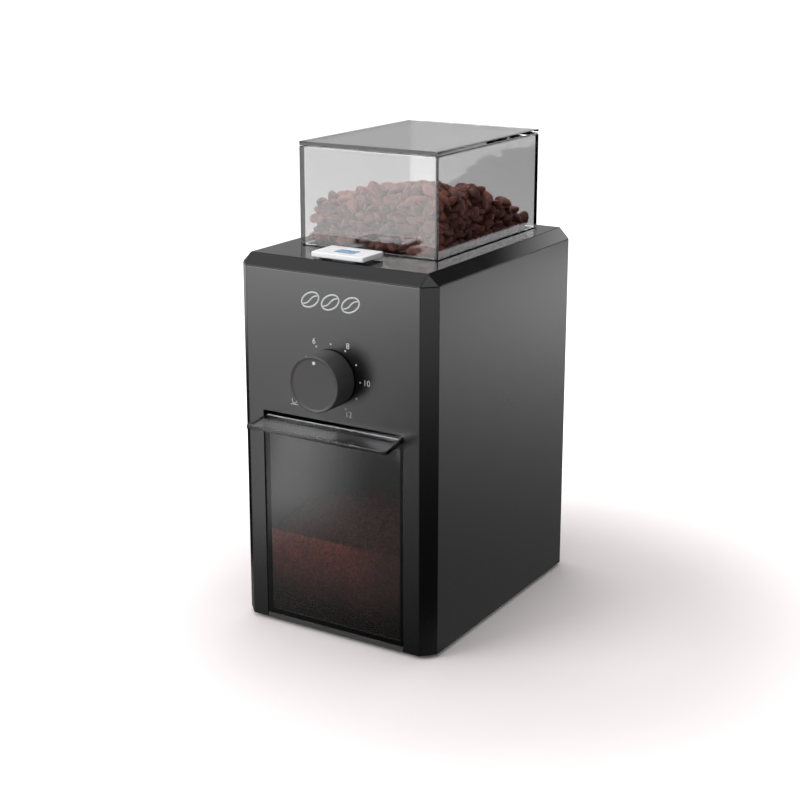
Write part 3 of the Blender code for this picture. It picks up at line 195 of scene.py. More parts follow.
def range_node(tree, value, low, high, to_low=0.0, to_high=1.0):
    node = tree.nodes.new("ShaderNodeMapRange")
    feed(tree, node.inputs, Value=value, From_Min=low, From_Max=high, To_Min=to_low, To_Max=to_high)
    return node.outputs["Result"]


def smooth_step(tree, value, low, high, to_low=0.0, to_high=1.0):
    result = range_node(tree, value, low, high, to_low, to_high)
    result.node.interpolation_type = "SMOOTHSTEP"
    return result


def vector_math(tree, operation, vector, other=None, output="Value"):
    node = tree.nodes.new("ShaderNodeVectorMath")
    node.operation = operation
    tree.links.new(vector, node.inputs[0])
    if other is not None:
        node.inputs[1].default_value = other
    return node.outputs[output]


def colour_mix(tree, factor, first, second):
    node = tree.nodes.new("ShaderNodeMix")
    node.data_type = "RGBA"
    for socket, value in zip((node.inputs[0], node.inputs[6], node.inputs[7]), (factor, first, second)):
        give(tree, socket, value)
    return node.outputs[2]


def object_position(tree):
    return tree.nodes.new("ShaderNodeTexCoord").outputs["Object"]


def separate_axes(tree, vector):
    node = tree.nodes.new("ShaderNodeSeparateXYZ")
    tree.links.new(vector, node.inputs[0])
    return node


def mould_grain_group():
    """Fine spark-eroded grain of a moulded plastic skin, with a slow change in its sheen."""
    grey = (0.05, 0.05, 0.05, 1)
    inputs = {"Grain Scale": 3000.0, "Roughness": 0.4, "Roughness Change": 0.06, "Colour": grey}
    outputs = {"Height": FLOAT, "Roughness": FLOAT, "Colour": COLOUR}
    group, inside, out = shader_group("mould_grain", inputs, outputs)
    place = object_position(group)
    scale = inside.outputs["Grain Scale"]
    fine = texture_node(group, "ShaderNodeTexNoise", scale, place, Detail=3.0, Roughness=0.6)
    cells = texture_node(group, "ShaderNodeTexVoronoi", scale, place)
    height = math_node(group, "MULTIPLY_ADD", cells.outputs["Distance"], 0.5, fine.outputs["Fac"])
    slow = texture_node(group, "ShaderNodeTexNoise", 22.0, place, Detail=4.0, Roughness=0.62)
    streak = range_node(group, slow.outputs["Fac"], 0.3, 0.7, -1.0, 1.0)
    change = math_node(group, "MULTIPLY", streak, inside.outputs["Roughness Change"])
    rough = math_node(group, "ADD", inside.outputs["Roughness"], change, clamp=True)
    shade = range_node(group, fine.outputs["Fac"], 0.25, 0.75, 0.90, 1.10)
    tone = group.nodes.new("ShaderNodeVectorMath")
    tone.operation = "SCALE"
    group.links.new(inside.outputs["Colour"], tone.inputs[0])
    group.links.new(shade, tone.inputs["Scale"])
    feed(group, out.inputs, Height=height, Roughness=rough, Colour=tone.outputs[0])
    return group


def handling_group():
    """Faint smears, specks of dust and hairline scratches on a polished skin."""
    inputs = {"Roughness": 0.08, "Smear": 0.05, "Dust": 0.3}
    outputs = {"Roughness": FLOAT, "Dust": FLOAT}
    group, inside, out = shader_group("handling_marks", inputs, outputs)
    place = object_position(group)
    cloud = texture_node(group, "ShaderNodeTexNoise", 38.0, place, Detail=5.0, Roughness=0.65, Distortion=0.6)
    smear = range_node(group, cloud.outputs["Fac"], 0.42, 0.72)
    rough = math_node(group, "MULTIPLY_ADD", smear, inside.outputs["Smear"], inside.outputs["Roughness"])
    specks = texture_node(group, "ShaderNodeTexVoronoi", 900.0, place)
    grains = range_node(group, specks.outputs["Distance"], 0.05, 0.09, 1.0, 0.0)
    patch = range_node(group, cloud.outputs["Fac"], 0.55, 0.75)
    dust = math_node(group, "MULTIPLY", math_node(group, "MULTIPLY", grains, patch), inside.outputs["Dust"])
    feed(group, out.inputs, Roughness=math_node(group, "ADD", rough, dust, clamp=True), Dust=dust)
    return group


def turned_metal_group():
    """Fine tool marks and a little oil darkening on machined metal."""
    inputs = {"Colour": (0.5, 0.5, 0.5, 1), "Roughness": 0.3, "Mark Scale": 500.0, "Stain": 0.25}
    outputs = {"Colour": COLOUR, "Roughness": FLOAT, "Height": FLOAT}
    group, inside, out = shader_group("tool_marks", inputs, outputs)
    place = object_position(group)
    stretch = group.nodes.new("ShaderNodeMapping")
    stretch.inputs["Scale"].default_value = (0.12, 0.12, 1.0)
    group.links.new(place, stretch.inputs["Vector"])
    scale, turned = inside.outputs["Mark Scale"], stretch.outputs["Vector"]
    marks = texture_node(group, "ShaderNodeTexNoise", scale, turned, Detail=4.0, Roughness=0.7)
    blotch = texture_node(group, "ShaderNodeTexNoise", 60.0, place, Detail=5.0, Roughness=0.6)
    stain = range_node(group, blotch.outputs["Fac"], 0.45, 0.75)
    amount = math_node(group, "MULTIPLY", stain, inside.outputs["Stain"])
    darker = colour_mix(group, amount, inside.outputs["Colour"], (0.06, 0.05, 0.045))
    rough = math_node(group, "MULTIPLY_ADD", amount, 0.5, inside.outputs["Roughness"])
    lines = range_node(group, marks.outputs["Fac"], 0.3, 0.7, -0.5, 0.5)
    rough = math_node(group, "MULTIPLY_ADD", lines, 0.16, rough)
    feed(group, out.inputs, Colour=darker, Roughness=rough, Height=marks.outputs["Fac"])
    return group


def use_group(tree, maker, name, **values):
    """Places a shader group in a material, building it the first time."""
    node = tree.nodes.new("ShaderNodeGroup")
    node.node_tree = bpy.data.node_groups.get(name) or maker()
    feed(tree, node.inputs, **values)
    return node


# ---- materials -----------------------------------------------------------------------------------------
DUST = (0.30, 0.29, 0.28)
CLEAR_INDEX = 1.49


def new_finish(name, **sockets):
    """A material and its Principled shader, with plain values set on the shader's own sockets."""
    material = bpy.data.materials.new(name)
    material.use_nodes = True
    shader = material.node_tree.nodes["Principled BSDF"]
    feed(material.node_tree, shader.inputs, **sockets)
    return material, material.node_tree, shader


def raise_grain(tree, shader, height, distance, strength=0.5):
    bump = tree.nodes.new("ShaderNodeBump")
    feed(tree, bump.inputs, Strength=strength, Distance=distance, Height=height)
    feed(tree, shader.inputs, Normal=bump.outputs["Normal"])


def mix_surface(tree, factor, first, second):
    """Ends a material in a blend of two shaders."""
    mix = tree.nodes.new("ShaderNodeMixShader")
    for socket, output in zip(mix.inputs, (factor, first.outputs[0], second.outputs[0])):
        tree.links.new(output, socket)
    tree.links.new(mix.outputs[0], tree.nodes["Material Output"].inputs["Surface"])


def moulded_finish(name, colour, roughness=0.45, grain=2600.0, depth=0.00003, change=0.05, **sockets):
    """Moulded plastic with a fine grain."""
    material, tree, shader = new_finish(name, **sockets)
    values = {"Grain_Scale": grain, "Roughness": roughness, "Roughness_Change": change, "Colour": colour}
    skin = use_group(tree, mould_grain_group, "mould_grain", **values)
    feed(tree, shader.inputs, Base_Color=skin.outputs["Colour"], Roughness=skin.outputs["Roughness"])
    raise_grain(tree, shader, skin.outputs["Height"], depth)
    return material


def polished_finish(name, colour, roughness=0.07, smear=0.05, dust=0.10, **sockets):
    """Polished plastic that shows smears and a little dust."""
    material, tree, shader = new_finish(name, **sockets)
    marks = use_group(tree, handling_group, "handling_marks", Roughness=roughness, Smear=smear, Dust=dust)
    tint = colour_mix(tree, marks.outputs["Dust"], colour, DUST)
    feed(tree, shader.inputs, Base_Color=tint, Roughness=marks.outputs["Roughness"])
    return material


def metal_finish(name, colour, roughness=0.3, marks=500.0, stain=0.25, depth=0.00002):
    """Machined, stamped or cast metal."""
    material, tree, shader = new_finish(name, Metallic=1.0)
    values = {"Colour": colour, "Roughness": roughness, "Mark_Scale": marks, "Stain": stain}
    skin = use_group(tree, turned_metal_group, "tool_marks", **values)
    feed(tree, shader.inputs, Base_Color=skin.outputs["Colour"], Roughness=skin.outputs["Roughness"])
    raise_grain(tree, shader, skin.outputs["Height"], depth, 0.3)
    return material


def clear_finish(name, tint, shadow_tint, roughness=0.02, **sockets):
    """Clear plastic. Lamps reach through it to what it holds."""
    material, tree, shader = new_finish(
        name, Base_Color=tuple(tint), IOR=CLEAR_INDEX, Transmission_Weight=1.0, **sockets
    )
    marks = use_group(tree, handling_group, "handling_marks", Roughness=roughness, Smear=0.02, Dust=0.0)
    feed(tree, shader.inputs, Roughness=marks.outputs["Roughness"])
    lamp_path = tree.nodes.new("ShaderNodeLightPath")
    through = tree.nodes.new("ShaderNodeBsdfTransparent")
    feed(tree, through.inputs, Color=shadow_tint)
    mix_surface(tree, lamp_path.outputs["Is Shadow Ray"], shader, through)
    return material


def bean_finish(name):
    """Roasted beans: each has its own tone, a pale crease along its flat side and a mottled, oily skin."""
    material, tree, shader = new_finish(name, Specular_IOR_Level=0.35)
    tone = tree.nodes.new("ShaderNodeAttribute")
    tone.attribute_name = "bean_tone"
    local = tree.nodes.new("ShaderNodeAttribute")
    local.attribute_name = "bean_place"
    axes = separate_axes(tree, local.outputs["Vector"])
    place = object_position(tree)
    mottle = texture_node(tree, "ShaderNodeTexNoise", 420.0, place, Detail=6.0, Roughness=0.62)
    pits = texture_node(tree, "ShaderNodeTexVoronoi", 1500.0, place)
    base = tuple(settings("coffee").bean_colour)
    darker = tuple(c * 0.38 for c in base)
    lighter = tuple(min(1, c * 1.75) for c in base)
    body = colour_mix(tree, tone.outputs["Fac"], darker, lighter)
    patches = range_node(tree, mottle.outputs["Fac"], 0.4, 0.68)
    mottled = colour_mix(tree, patches, body, tuple(c * 0.45 for c in base))
    bend = math_node(tree, "SINE", math_node(tree, "MULTIPLY", axes.outputs["X"], 4.2))
    across = math_node(tree, "ABSOLUTE", math_node(tree, "MULTIPLY_ADD", bend, 0.06, axes.outputs["Y"]))
    groove = range_node(tree, across, 0.03, 0.13, 1.0, 0.0)
    underside = range_node(tree, axes.outputs["Z"], -0.10, -0.35, 0.0, 1.0)
    crease = math_node(tree, "MULTIPLY", groove, underside)
    pale = tuple(min(1, c * 3.2) for c in base)
    colour = colour_mix(tree, math_node(tree, "MULTIPLY", crease, 0.75), mottled, pale)
    oily = range_node(tree, mottle.outputs["Fac"], 0.35, 0.7, 0.30, 0.52)
    feed(tree, shader.inputs, Base_Color=colour, Roughness=oily)
    relief = math_node(tree, "MULTIPLY_ADD", mottle.outputs["Fac"], 0.6, pits.outputs["Distance"])
    relief = math_node(tree, "MULTIPLY_ADD", crease, -2.4, relief)
    raise_grain(tree, shader, relief, 0.00022, 0.9)
    return material


def ground_finish(name, tone_factor, darker_floor_painted_side):
    """Ground coffee: grains of mixed browns; its sides grow darker towards its floor and get painted shade on
    one side.
    """
    material, tree, shader = new_finish(name, Specular_IOR_Level=0.25)
    place = object_position(tree)
    grains = texture_node(tree, "ShaderNodeTexVoronoi", 1250.0, place, Randomness=1.0)
    coarse = texture_node(tree, "ShaderNodeTexVoronoi", 620.0, place, Randomness=1.0)
    clumps = texture_node(tree, "ShaderNodeTexNoise", 130.0, place, Detail=5.0, Roughness=0.6)
    base = tuple(c * tone_factor for c in settings("coffee").ground_colour)
    tone = tree.nodes.new("ShaderNodeSeparateColor")
    tree.links.new(grains.outputs["Color"], tone.inputs[0])
    dark, light = tuple(c * 0.30 for c in base), tuple(min(1, c * 1.5) for c in base)
    mixed = colour_mix(tree, tone.outputs[0], dark, light)
    shade = range_node(tree, clumps.outputs["Fac"], 0.35, 0.7, 0.0, 0.55)
    tint = colour_mix(tree, shade, mixed, tuple(c * 0.35 for c in base))
    # Darker towards the floor, plus painted shade that darkens the right-hand side.
    if darker_floor_painted_side:
        axes = separate_axes(tree, place)
        depth = range_node(tree, axes.outputs["Z"], 0.058, 0.012, 0.0, 0.72)
        shadow_side = smooth_step(tree, axes.outputs["X"], MIDDLE.x - 0.012, MIDDLE.x + 0.036, 0.0, 0.80)
        depth = math_node(tree, "MAXIMUM", depth, shadow_side)
        tint = colour_mix(tree, depth, tint, tuple(c * 0.12 for c in base))
    gap = range_node(tree, grains.outputs["Distance"], 0.0, 0.8, 0.62, 0.95)
    feed(tree, shader.inputs, Base_Color=tint, Roughness=gap)
    relief = math_node(tree, "ADD", grains.outputs["Distance"], coarse.outputs["Distance"])
    raise_grain(tree, shader, relief, 0.0006, 1.0)
    return material


def board_finish(name):
    """Green circuit laminate with copper tracks under the lacquer."""
    material, tree, shader = new_finish(name, Coat_Weight=0.4)
    place = object_position(tree)
    tracks = texture_node(tree, "ShaderNodeTexBrick", 120.0, place)
    tracks.inputs["Mortar Size"].default_value = 0.06
    green = colour_mix(tree, tracks.outputs["Fac"], (0.012, 0.10, 0.035), (0.05, 0.22, 0.07))
    weave = texture_node(tree, "ShaderNodeTexNoise", 900.0, place, Detail=2.0)
    rough = range_node(tree, weave.outputs["Fac"], 0.3, 0.7, 0.30, 0.45)
    feed(tree, shader.inputs, Base_Color=green, Roughness=rough)
    raise_grain(tree, shader, tracks.outputs["Fac"], 0.00003, 0.5)
    return material


def copper_wire_finish(name):
    """Enamelled copper wire wound in tight turns."""
    material, tree, shader = new_finish(name, Metallic=1.0, Coat_Weight=0.6, Coat_Roughness=0.2)
    place = object_position(tree)
    turns = texture_node(tree, "ShaderNodeTexWave", 700.0, place)
    turns.bands_direction = "Z"
    turns.inputs["Distortion"].default_value = 1.2
    tone = colour_mix(tree, turns.outputs["Fac"], (0.22, 0.07, 0.025), (0.72, 0.30, 0.13))
    rough = range_node(tree, turns.outputs["Fac"], 0.0, 1.0, 0.5, 0.25)
    feed(tree, shader.inputs, Base_Color=tone, Roughness=rough)
    raise_grain(tree, shader, turns.outputs["Fac"], 0.0002, 0.8)
    return material


def finish_table():
    """Every finish by name: its maker and the values it is made with."""
    shell, clear, control = settings("shell"), settings("clear"), settings("control")
    tint = tuple(clear.smoke)
    thick = (0.6, 0.6, 0.61)
    glossy_coat = {"Coat_Weight": 0.6, "Coat_Roughness": 0.04}
    return {
        "satin_shell": (
            moulded_finish, shell.shell_colour, 0.27, 2400.0, 0.000006, 0.006, {"Specular_IOR_Level": 1.0}
        ),
        "polished_deck": (polished_finish, shell.deck_colour, 0.05, 0.04, 0.05),
        "smoke_clear": (clear_finish, tint, (0.88, 0.88, 0.885)),
        # A darker copy of the smoke tint: painted shade for clear plastic seen edge on.
        "smoke_edge": (clear_finish, tuple(c * 0.5 for c in tint), thick, 0.03),
        "smoke_lip": (clear_finish, tuple(c * 0.62 for c in tint), thick, 0.015),
        "smoke_container": (clear_finish, tint, (0.9, 0.9, 0.905), 0.03, {"Specular_IOR_Level": 0.38}),
        "knob_plastic": (moulded_finish, control.knob_colour, 0.5, 2800.0, 0.00003),
        "button_plastic": (
            moulded_finish, control.button_colour, 0.25, 2000.0, 0.000006, 0.03, {"Coat_Weight": 0.3}
        ),
        "window_lens": (polished_finish, control.window_colour, 0.08, 0.02, 0.0, glossy_coat),
        "print_ink": (moulded_finish, control.print_colour, 0.55, 4000.0, 0.00001, 0.02),
        "inner_plastic": (moulded_finish, (0.022, 0.022, 0.023), 0.5, 1500.0, 0.00005),
        "natural_nylon": (
            moulded_finish, (0.66, 0.62, 0.52), 0.42, 900.0, 0.00004, 0.06, {"Subsurface_Weight": 0.1}
        ),
        # Painted light: a slightly lighter copy of the inner black plastic, so the bay's walls look lit
        # through its mouth.
        "bay_plastic": (moulded_finish, (0.028, 0.028, 0.029), 0.4, 1500.0, 0.00004),
        "foot_rubber": (moulded_finish, (0.018, 0.018, 0.018), 0.82, 1800.0, 0.00008),
        "burr_steel": (metal_finish, (0.56, 0.56, 0.57), 0.26, 900.0, 0.35),
        "turned_steel": (metal_finish, (0.62, 0.62, 0.62), 0.22, 700.0, 0.15),
        "zinc_plate": (metal_finish, (0.58, 0.58, 0.60), 0.38, 300.0, 0.30),
        "sintered_bronze": (metal_finish, (0.55, 0.34, 0.14), 0.42, 1200.0, 0.45),
        "ferrite_block": (moulded_finish, (0.05, 0.05, 0.052), 0.72, 1200.0, 0.00008),
        "circuit_board": (board_finish,),
        "enamelled_copper": (copper_wire_finish,),
        "roasted_bean": (bean_finish,),
        # Sides of the heap: darker towards the floor, with painted shade on the right.
        "packed_coffee": (ground_finish, 1.0, True),
        "loose_coffee": (ground_finish, 0.4, False),
    }  # fmt: skip


def finish(name):
    """The named finish, made the first time it is asked for."""
    made = bpy.data.materials.get(name)
    if made:
        return made
    maker, *values = finish_table()[name]
    sockets = values.pop() if values and isinstance(values[-1], dict) else {}
    return maker(name, *values, **sockets)


# ---- mesh helpers --------------------------------------------------------------------------------------
def add_piece(name, bm, finishes, body, nodes=(), slot=None, smooth=True, bevel=None, segments=3):
    """Makes an object of a finished bmesh, gives it its finishes and ties it to the frame."""
    bmesh.ops.recalc_face_normals(bm, faces=bm.faces)
    mesh = bpy.data.meshes.new(name)
    bm.to_mesh(mesh)
    bm.free()
    return add_mesh(name, mesh, finishes, body, nodes, smooth, bevel, segments)


def add_mesh(name, mesh, finishes, body, nodes=(), smooth=True, bevel=None, segments=3):
    for label in [finishes] if isinstance(finishes, str) else finishes:
        mesh.materials.append(finish(label))
    if smooth:
        mesh.polygons.foreach_set("use_smooth", [True] * len(mesh.polygons))
    obj = bpy.data.objects.new(name, mesh)
    bpy.context.scene.collection.objects.link(obj)
    if bevel:
        rounding = obj.modifiers.new("edges", "BEVEL")
        rounding.width = bevel
        rounding.segments = segments
        rounding.limit_method = "ANGLE"
        rounding.angle_limit = math.radians(28)
        rounding.miter_outer = "MITER_ARC"
    if smooth:
        weights = obj.modifiers.new("normals", "WEIGHTED_NORMAL")
        weights.keep_sharp = True
    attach(obj, body)
    if nodes:
        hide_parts(*([nodes] if isinstance(nodes, str) else nodes))
    return obj


def block(bm, low, high):
    """Adds a block between two corners and returns its faces."""
    low, high = Vector(low), Vector(high)
    made = bmesh.ops.create_cube(bm, size=1)["verts"]
    bmesh.ops.scale(bm, vec=high - low, verts=made)
    bmesh.ops.translate(bm, vec=(low + high) / 2, verts=made)
    return list({face for vert in made for face in vert.link_faces})


def disc(bm, centre, radius, thickness, sides):
    """Adds a flat round chip that faces the front."""
    made = bmesh.ops.create_cone(
        bm, cap_ends=True, segments=sides, radius1=radius, radius2=radius, depth=thickness
    )["verts"]
    place = Matrix.Translation(centre) @ Matrix.Rotation(math.pi / 2, 4, "X")
    bmesh.ops.transform(bm, matrix=place, verts=made)


def spun(profile, centre=(0, 0, 0), axis="Z", steps=64):
    """A bmesh turned about an axis through centre from (radius, height) points."""
    bm = bmesh.new()
    verts = [bm.verts.new((r, 0, h)) for r, h in profile]
    edges = [bm.edges.new(pair) for pair in zip(verts, verts[1:])]
    bmesh.ops.spin(
        bm, geom=verts + edges, cent=(0, 0, 0), axis=(0, 0, 1), angle=2 * math.pi, steps=steps, use_merge=True
    )
    bmesh.ops.remove_doubles(bm, verts=bm.verts, dist=1e-6)
    if axis == "-Y":
        bmesh.ops.rotate(bm, verts=bm.verts, matrix=Matrix.Rotation(math.pi / 2, 3, "X"))
    bmesh.ops.translate(bm, verts=bm.verts, vec=centre)
    return bm


def slice_mesh(bm, **planes):
    """Cuts every face along the given level planes, such as x=[...]."""
    for label, values in planes.items():
        index = "xyz".index(label)
        normal = Vector((0, 0, 0))
        normal[index] = 1
        for value in values:
            geometry = bm.verts[:] + bm.edges[:] + bm.faces[:]
            bmesh.ops.bisect_plane(bm, geom=geometry, dist=1e-7, plane_co=normal * value, plane_no=normal)


def verts_of(geometry):
    return [item for item in geometry if isinstance(item, bmesh.types.BMVert)]


def square_up(bm):
    """Joins level faces into whole ones and turns all faces outwards."""
    bmesh.ops.dissolve_limit(bm, angle_limit=math.radians(0.5), verts=bm.verts, edges=bm.edges)
    bmesh.ops.recalc_face_normals(bm, faces=bm.faces)


def upright_wall(outline, bottom, height):
    """A bmesh of an open wall standing on a closed outline of (x, y) points."""
    bm = bmesh.new()
    ring = [bm.verts.new((x, y, bottom)) for x, y in outline]
    edges = [bm.edges.new((ring[i - 1], ring[i])) for i in range(len(ring))]
    raised = bmesh.ops.extrude_edge_only(bm, edges=edges)["geom"]
    bmesh.ops.translate(bm, vec=(0, 0, height), verts=verts_of(raised))
    return bm


def filled_heap(sides, cells, height, floor):
    """A closed heap between two (x, y) corners: its top follows height(x, y), its skirt ends at the floor."""
    (x0, y0), (x1, y1) = sides
    bm = bmesh.new()
    bmesh.ops.create_grid(bm, x_segments=cells[0], y_segments=cells[1], size=0.5)
    bmesh.ops.scale(bm, vec=(x1 - x0, y1 - y0, 1), verts=bm.verts)
    bmesh.ops.translate(bm, vec=((x0 + x1) / 2, (y0 + y1) / 2, 0), verts=bm.verts)
    for vert in bm.verts:
        vert.co.z = height(vert.co.x - MIDDLE.x, vert.co.y - MIDDLE.y)
    rim = [edge for edge in bm.edges if edge.is_boundary]
    for vert in verts_of(bmesh.ops.extrude_edge_only(bm, edges=rim)["geom"]):
        vert.co.z = floor
    bmesh.ops.holes_fill(bm, edges=[edge for edge in bm.edges if edge.is_boundary], sides=0)
    return bm


def inside(point, low, high, slack=1e-6):
    return all(low[i] - slack <= point[i] <= high[i] + slack for i in range(3))


def open_window(bm, low, high):
    """Takes out the faces whose middles lie in a box, after the mesh has been sliced along its sides."""
    gone = [face for face in bm.faces if inside(face.calc_center_median(), low, high)]
    bmesh.ops.delete(bm, geom=gone, context="FACES")


def cad_copy(node):
    """A merged copy of a CAD node's mesh with its flat areas joined into whole faces."""
    bm = bmesh.new()
    bm.from_mesh(NODES[node].data)
    bmesh.ops.remove_doubles(bm, verts=bm.verts, dist=2e-6)
    bmesh.ops.dissolve_limit(bm, angle_limit=math.radians(0.8), verts=bm.verts, edges=bm.edges)
    return bm


def refine(node, label, body, bevel=0.0):
    """Shows a CAD node through a smoothed copy with slightly rounded edges."""
    sharp = math.radians(32)
    bm = cad_copy(node)
    if bevel:
        sharp_edges = [edge for edge in bm.edges if edge.is_manifold and edge.calc_face_angle(0) > sharp]
        bmesh.ops.bevel(
            bm, geom=sharp_edges, offset=bevel, segments=2, profile=0.5,
            affect="EDGES", material=-1, clamp_overlap=True,
        )
        bmesh.ops.remove_doubles(bm, verts=bm.verts, dist=1e-6)
    for edge in bm.edges:
        edge.smooth = not edge.is_manifold or edge.calc_face_angle(0) < sharp
    mesh = bpy.data.meshes.new(node + "_finished")
    bm.to_mesh(mesh)
    bm.free()
    return add_mesh(node + "_finished", mesh, label, body, node)


# ---- outer shells --------------------------------------------------------------------------------------
def cut_corner_outline(low, high, cut):
    """Corner points, anticlockwise from above, of an oblong with cut corners."""
    return [
        (high.x, low.y + cut), (high.x, high.y - cut), (high.x - cut, high.y), (low.x + cut, high.y),
        (low.x, high.y - cut), (low.x, low.y + cut), (low.x + cut, low.y), (high.x - cut, low.y),
    ]  # fmt: skip


def build_housing():
    """The sleeve: an upright wall with cut corners, the container's mouth, the lever's slot and the vents."""
    shell = settings("shell")
    low, high = HOUSING_LOW, HOUSING_HIGH
    bm = upright_wall(cut_corner_outline(low, high, shell.corner_cut), low.z, high.z - low.z)
    bay_low, bay_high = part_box("container_bay")
    wall = 1.8 * MM
    mouth_low = Vector((bay_low.x + wall, low.y, low.z))
    mouth_high = Vector((bay_high.x - wall, low.y, bay_high.z - wall))
    tab_low, tab_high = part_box("fineness_tab")
    axis_y = (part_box("lower_burr")[0].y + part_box("lower_burr")[1].y) / 2
    slot_z = (tab_low.z + tab_high.z) / 2
    half_length, half_height = 18.9 * MM, 2.2 * MM
    slot_low = Vector((low.x, axis_y - half_length, slot_z - half_height))
    slot_high = Vector((low.x, axis_y + half_length, slot_z + half_height))
    vent_left, vent_right, vent_height = MIDDLE.x - 0.022, MIDDLE.x + 0.022, 0.0025
    vents = [0.034 + 0.006 * i for i in range(6)]
    slice_mesh(
        bm,
        x=[mouth_low.x, mouth_high.x, vent_left, vent_right],
        y=[slot_low.y, slot_high.y],
        z=[mouth_high.z, slot_low.z, slot_high.z] + [z + dz for z in vents for dz in (0, vent_height)],
    )
    open_window(bm, mouth_low, mouth_high)
    open_window(bm, slot_low, slot_high)
    for z in vents:
        open_window(bm, (vent_left, high.y, z), (vent_right, high.y, z + vent_height))
    square_up(bm)
    bmesh.ops.solidify(bm, geom=bm.faces[:], thickness=shell.wall)
    edge = shell.edge_radius
    add_piece("housing_sleeve", bm, "satin_shell", MACHINE, "main_housing", "housing", bevel=edge)


def build_deck():
    """The polished cap: a flat top with a sloping rim that ends in a triangle at each corner."""
    shell = settings("shell")
    low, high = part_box("top_deck")
    seam = HOUSING_HIGH.z + 0.3 * MM
    inset = 6.2 * MM
    bm = bmesh.new()
    for x, y in cut_corner_outline(low, high, shell.corner_cut):
        bm.verts.new((x, y, seam))
    for x in (low.x + inset, high.x - inset):
        for y in (low.y + inset, high.y - inset):
            bm.verts.new((x, y, high.z))
    bmesh.ops.convex_hull(bm, input=bm.verts)
    bmesh.ops.recalc_face_normals(bm, faces=bm.faces)
    bmesh.ops.dissolve_limit(bm, angle_limit=math.radians(0.5), verts=bm.verts, edges=bm.edges)
    underside = [face for face in bm.faces if face.normal.z < -0.9]
    bmesh.ops.delete(bm, geom=underside, context="FACES")
    hop_low, hop_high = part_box("bean_hopper")
    ledge = settings("clear").wall + 1.8 * MM
    mouth_low = Vector((hop_low.x + ledge, hop_low.y + ledge, high.z))
    mouth_high = Vector((hop_high.x - ledge, hop_high.y - ledge, high.z))
    slice_mesh(bm, x=[mouth_low.x, mouth_high.x], y=[mouth_low.y, mouth_high.y])
    open_window(bm, mouth_low, mouth_high)
    square_up(bm)
    if sum(face.normal.z * face.calc_area() for face in bm.faces) < 0:
        bmesh.ops.reverse_faces(bm, faces=bm.faces)
    bmesh.ops.solidify(bm, geom=bm.faces[:], thickness=shell.wall)
    edge = shell.edge_radius * 0.8
    add_piece("deck_cap", bm, "polished_deck", MACHINE, "top_deck", "gloss_black", bevel=edge)
    rim = shell.wall + 0.3 * MM
    inward = Vector((rim, rim, 0))
    outer = cut_corner_outline(low + inward, high - inward, shell.corner_cut - rim * 0.586)
    skirt = upright_wall(outer, seam - 5 * MM, 4.9 * MM)
    bmesh.ops.recalc_face_normals(skirt, faces=skirt.faces)
    bmesh.ops.solidify(skirt, geom=skirt.faces[:], thickness=1.2 * MM)
    add_piece("deck_skirt", skirt, "inner_plastic", MACHINE, slot="gloss_black")


def build_base():
    """The base plate, the feet and the screws under it."""
    refine("base_plate", "inner_plastic", MACHINE, bevel=0.25 * MM)
    for corner in ("front_left", "front_right", "rear_left", "rear_right"):
        low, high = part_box("foot_" + corner)
        centre = Vector(((low.x + high.x) / 2, (low.y + high.y) / 2, 0))
        radius = (high.x - low.x) / 2
        peg = 2.1 * MM
        plate_z = 1.7 * MM
        bm = spun(
            [
                (0, high.z), (peg - 0.3 * MM, high.z), (peg, high.z - 0.3 * MM), (peg, plate_z),
                (radius - 0.3 * MM, plate_z), (radius, plate_z - 0.3 * MM), (radius, 0.6 * MM),
                (radius - 0.2 * MM, 0.2 * MM), (radius - 0.6 * MM, 0), (radius - 2.0 * MM, 0),
                (radius - 2.3 * MM, 0.3 * MM), (0, 0.3 * MM),
            ],
            centre,
            steps=48,
        )  # fmt: skip
        add_piece("foot_pad_" + corner, bm, "foot_rubber", MACHINE, "foot_" + corner, "rubber")
        build_screw("base_screw_" + corner)
    for side in ("left", "right"):
        build_screw("leg_screw_" + side)
    refine("cord_gland", "foot_rubber", MACHINE, bevel=0.2 * MM)


def build_screw(node):
    """A pan-head screw with a cross recess, pointing up."""
    low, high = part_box(node)
    centre = ((low.x + high.x) / 2, (low.y + high.y) / 2, 0)
    head, shank = (high.x - low.x) / 2, 1.4 * MM
    head_top = low.z + 1.2 * MM
    pitch = 1.1 * MM
    profile = [(0, high.z), (shank * 0.5, high.z)]
    z = high.z - 0.6 * MM
    while z - pitch > head_top + 0.6 * MM:
        profile += [(shank, z), (shank * 0.74, z - pitch / 2)]
        z -= pitch
    profile += [
        (shank * 0.9, head_top), (head - 0.2 * MM, head_top), (head, head_top - 0.25 * MM),
        (head - 0.15 * MM, low.z + 0.3 * MM), (head - 0.6 * MM, low.z), (head * 0.45, low.z),
        (head * 0.30, low.z + 0.5 * MM), (0, low.z + 0.7 * MM),
    ]  # fmt: skip
    add_piece(node + "_turned", spun(profile, centre, steps=24), "turned_steel", MACHINE, node, "steel")


# ---- clear mouldings -----------------------------------------------------------------------------------
def darken_corners(bm, low, high, width):
    """Gives the outer faces beside the four upright corners a darker tint: painted shade for the dark look of
    clear plastic seen edge on.
    """
    slice_mesh(bm, x=[low.x + width, high.x - width], y=[low.y + width, high.y - width])
    for face in bm.faces:
        middle = face.calc_center_median()
        near_x = middle.x < low.x + width or middle.x > high.x - width
        near_y = middle.y < low.y + width or middle.y > high.y - width
        face.material_index = int(near_x and near_y)


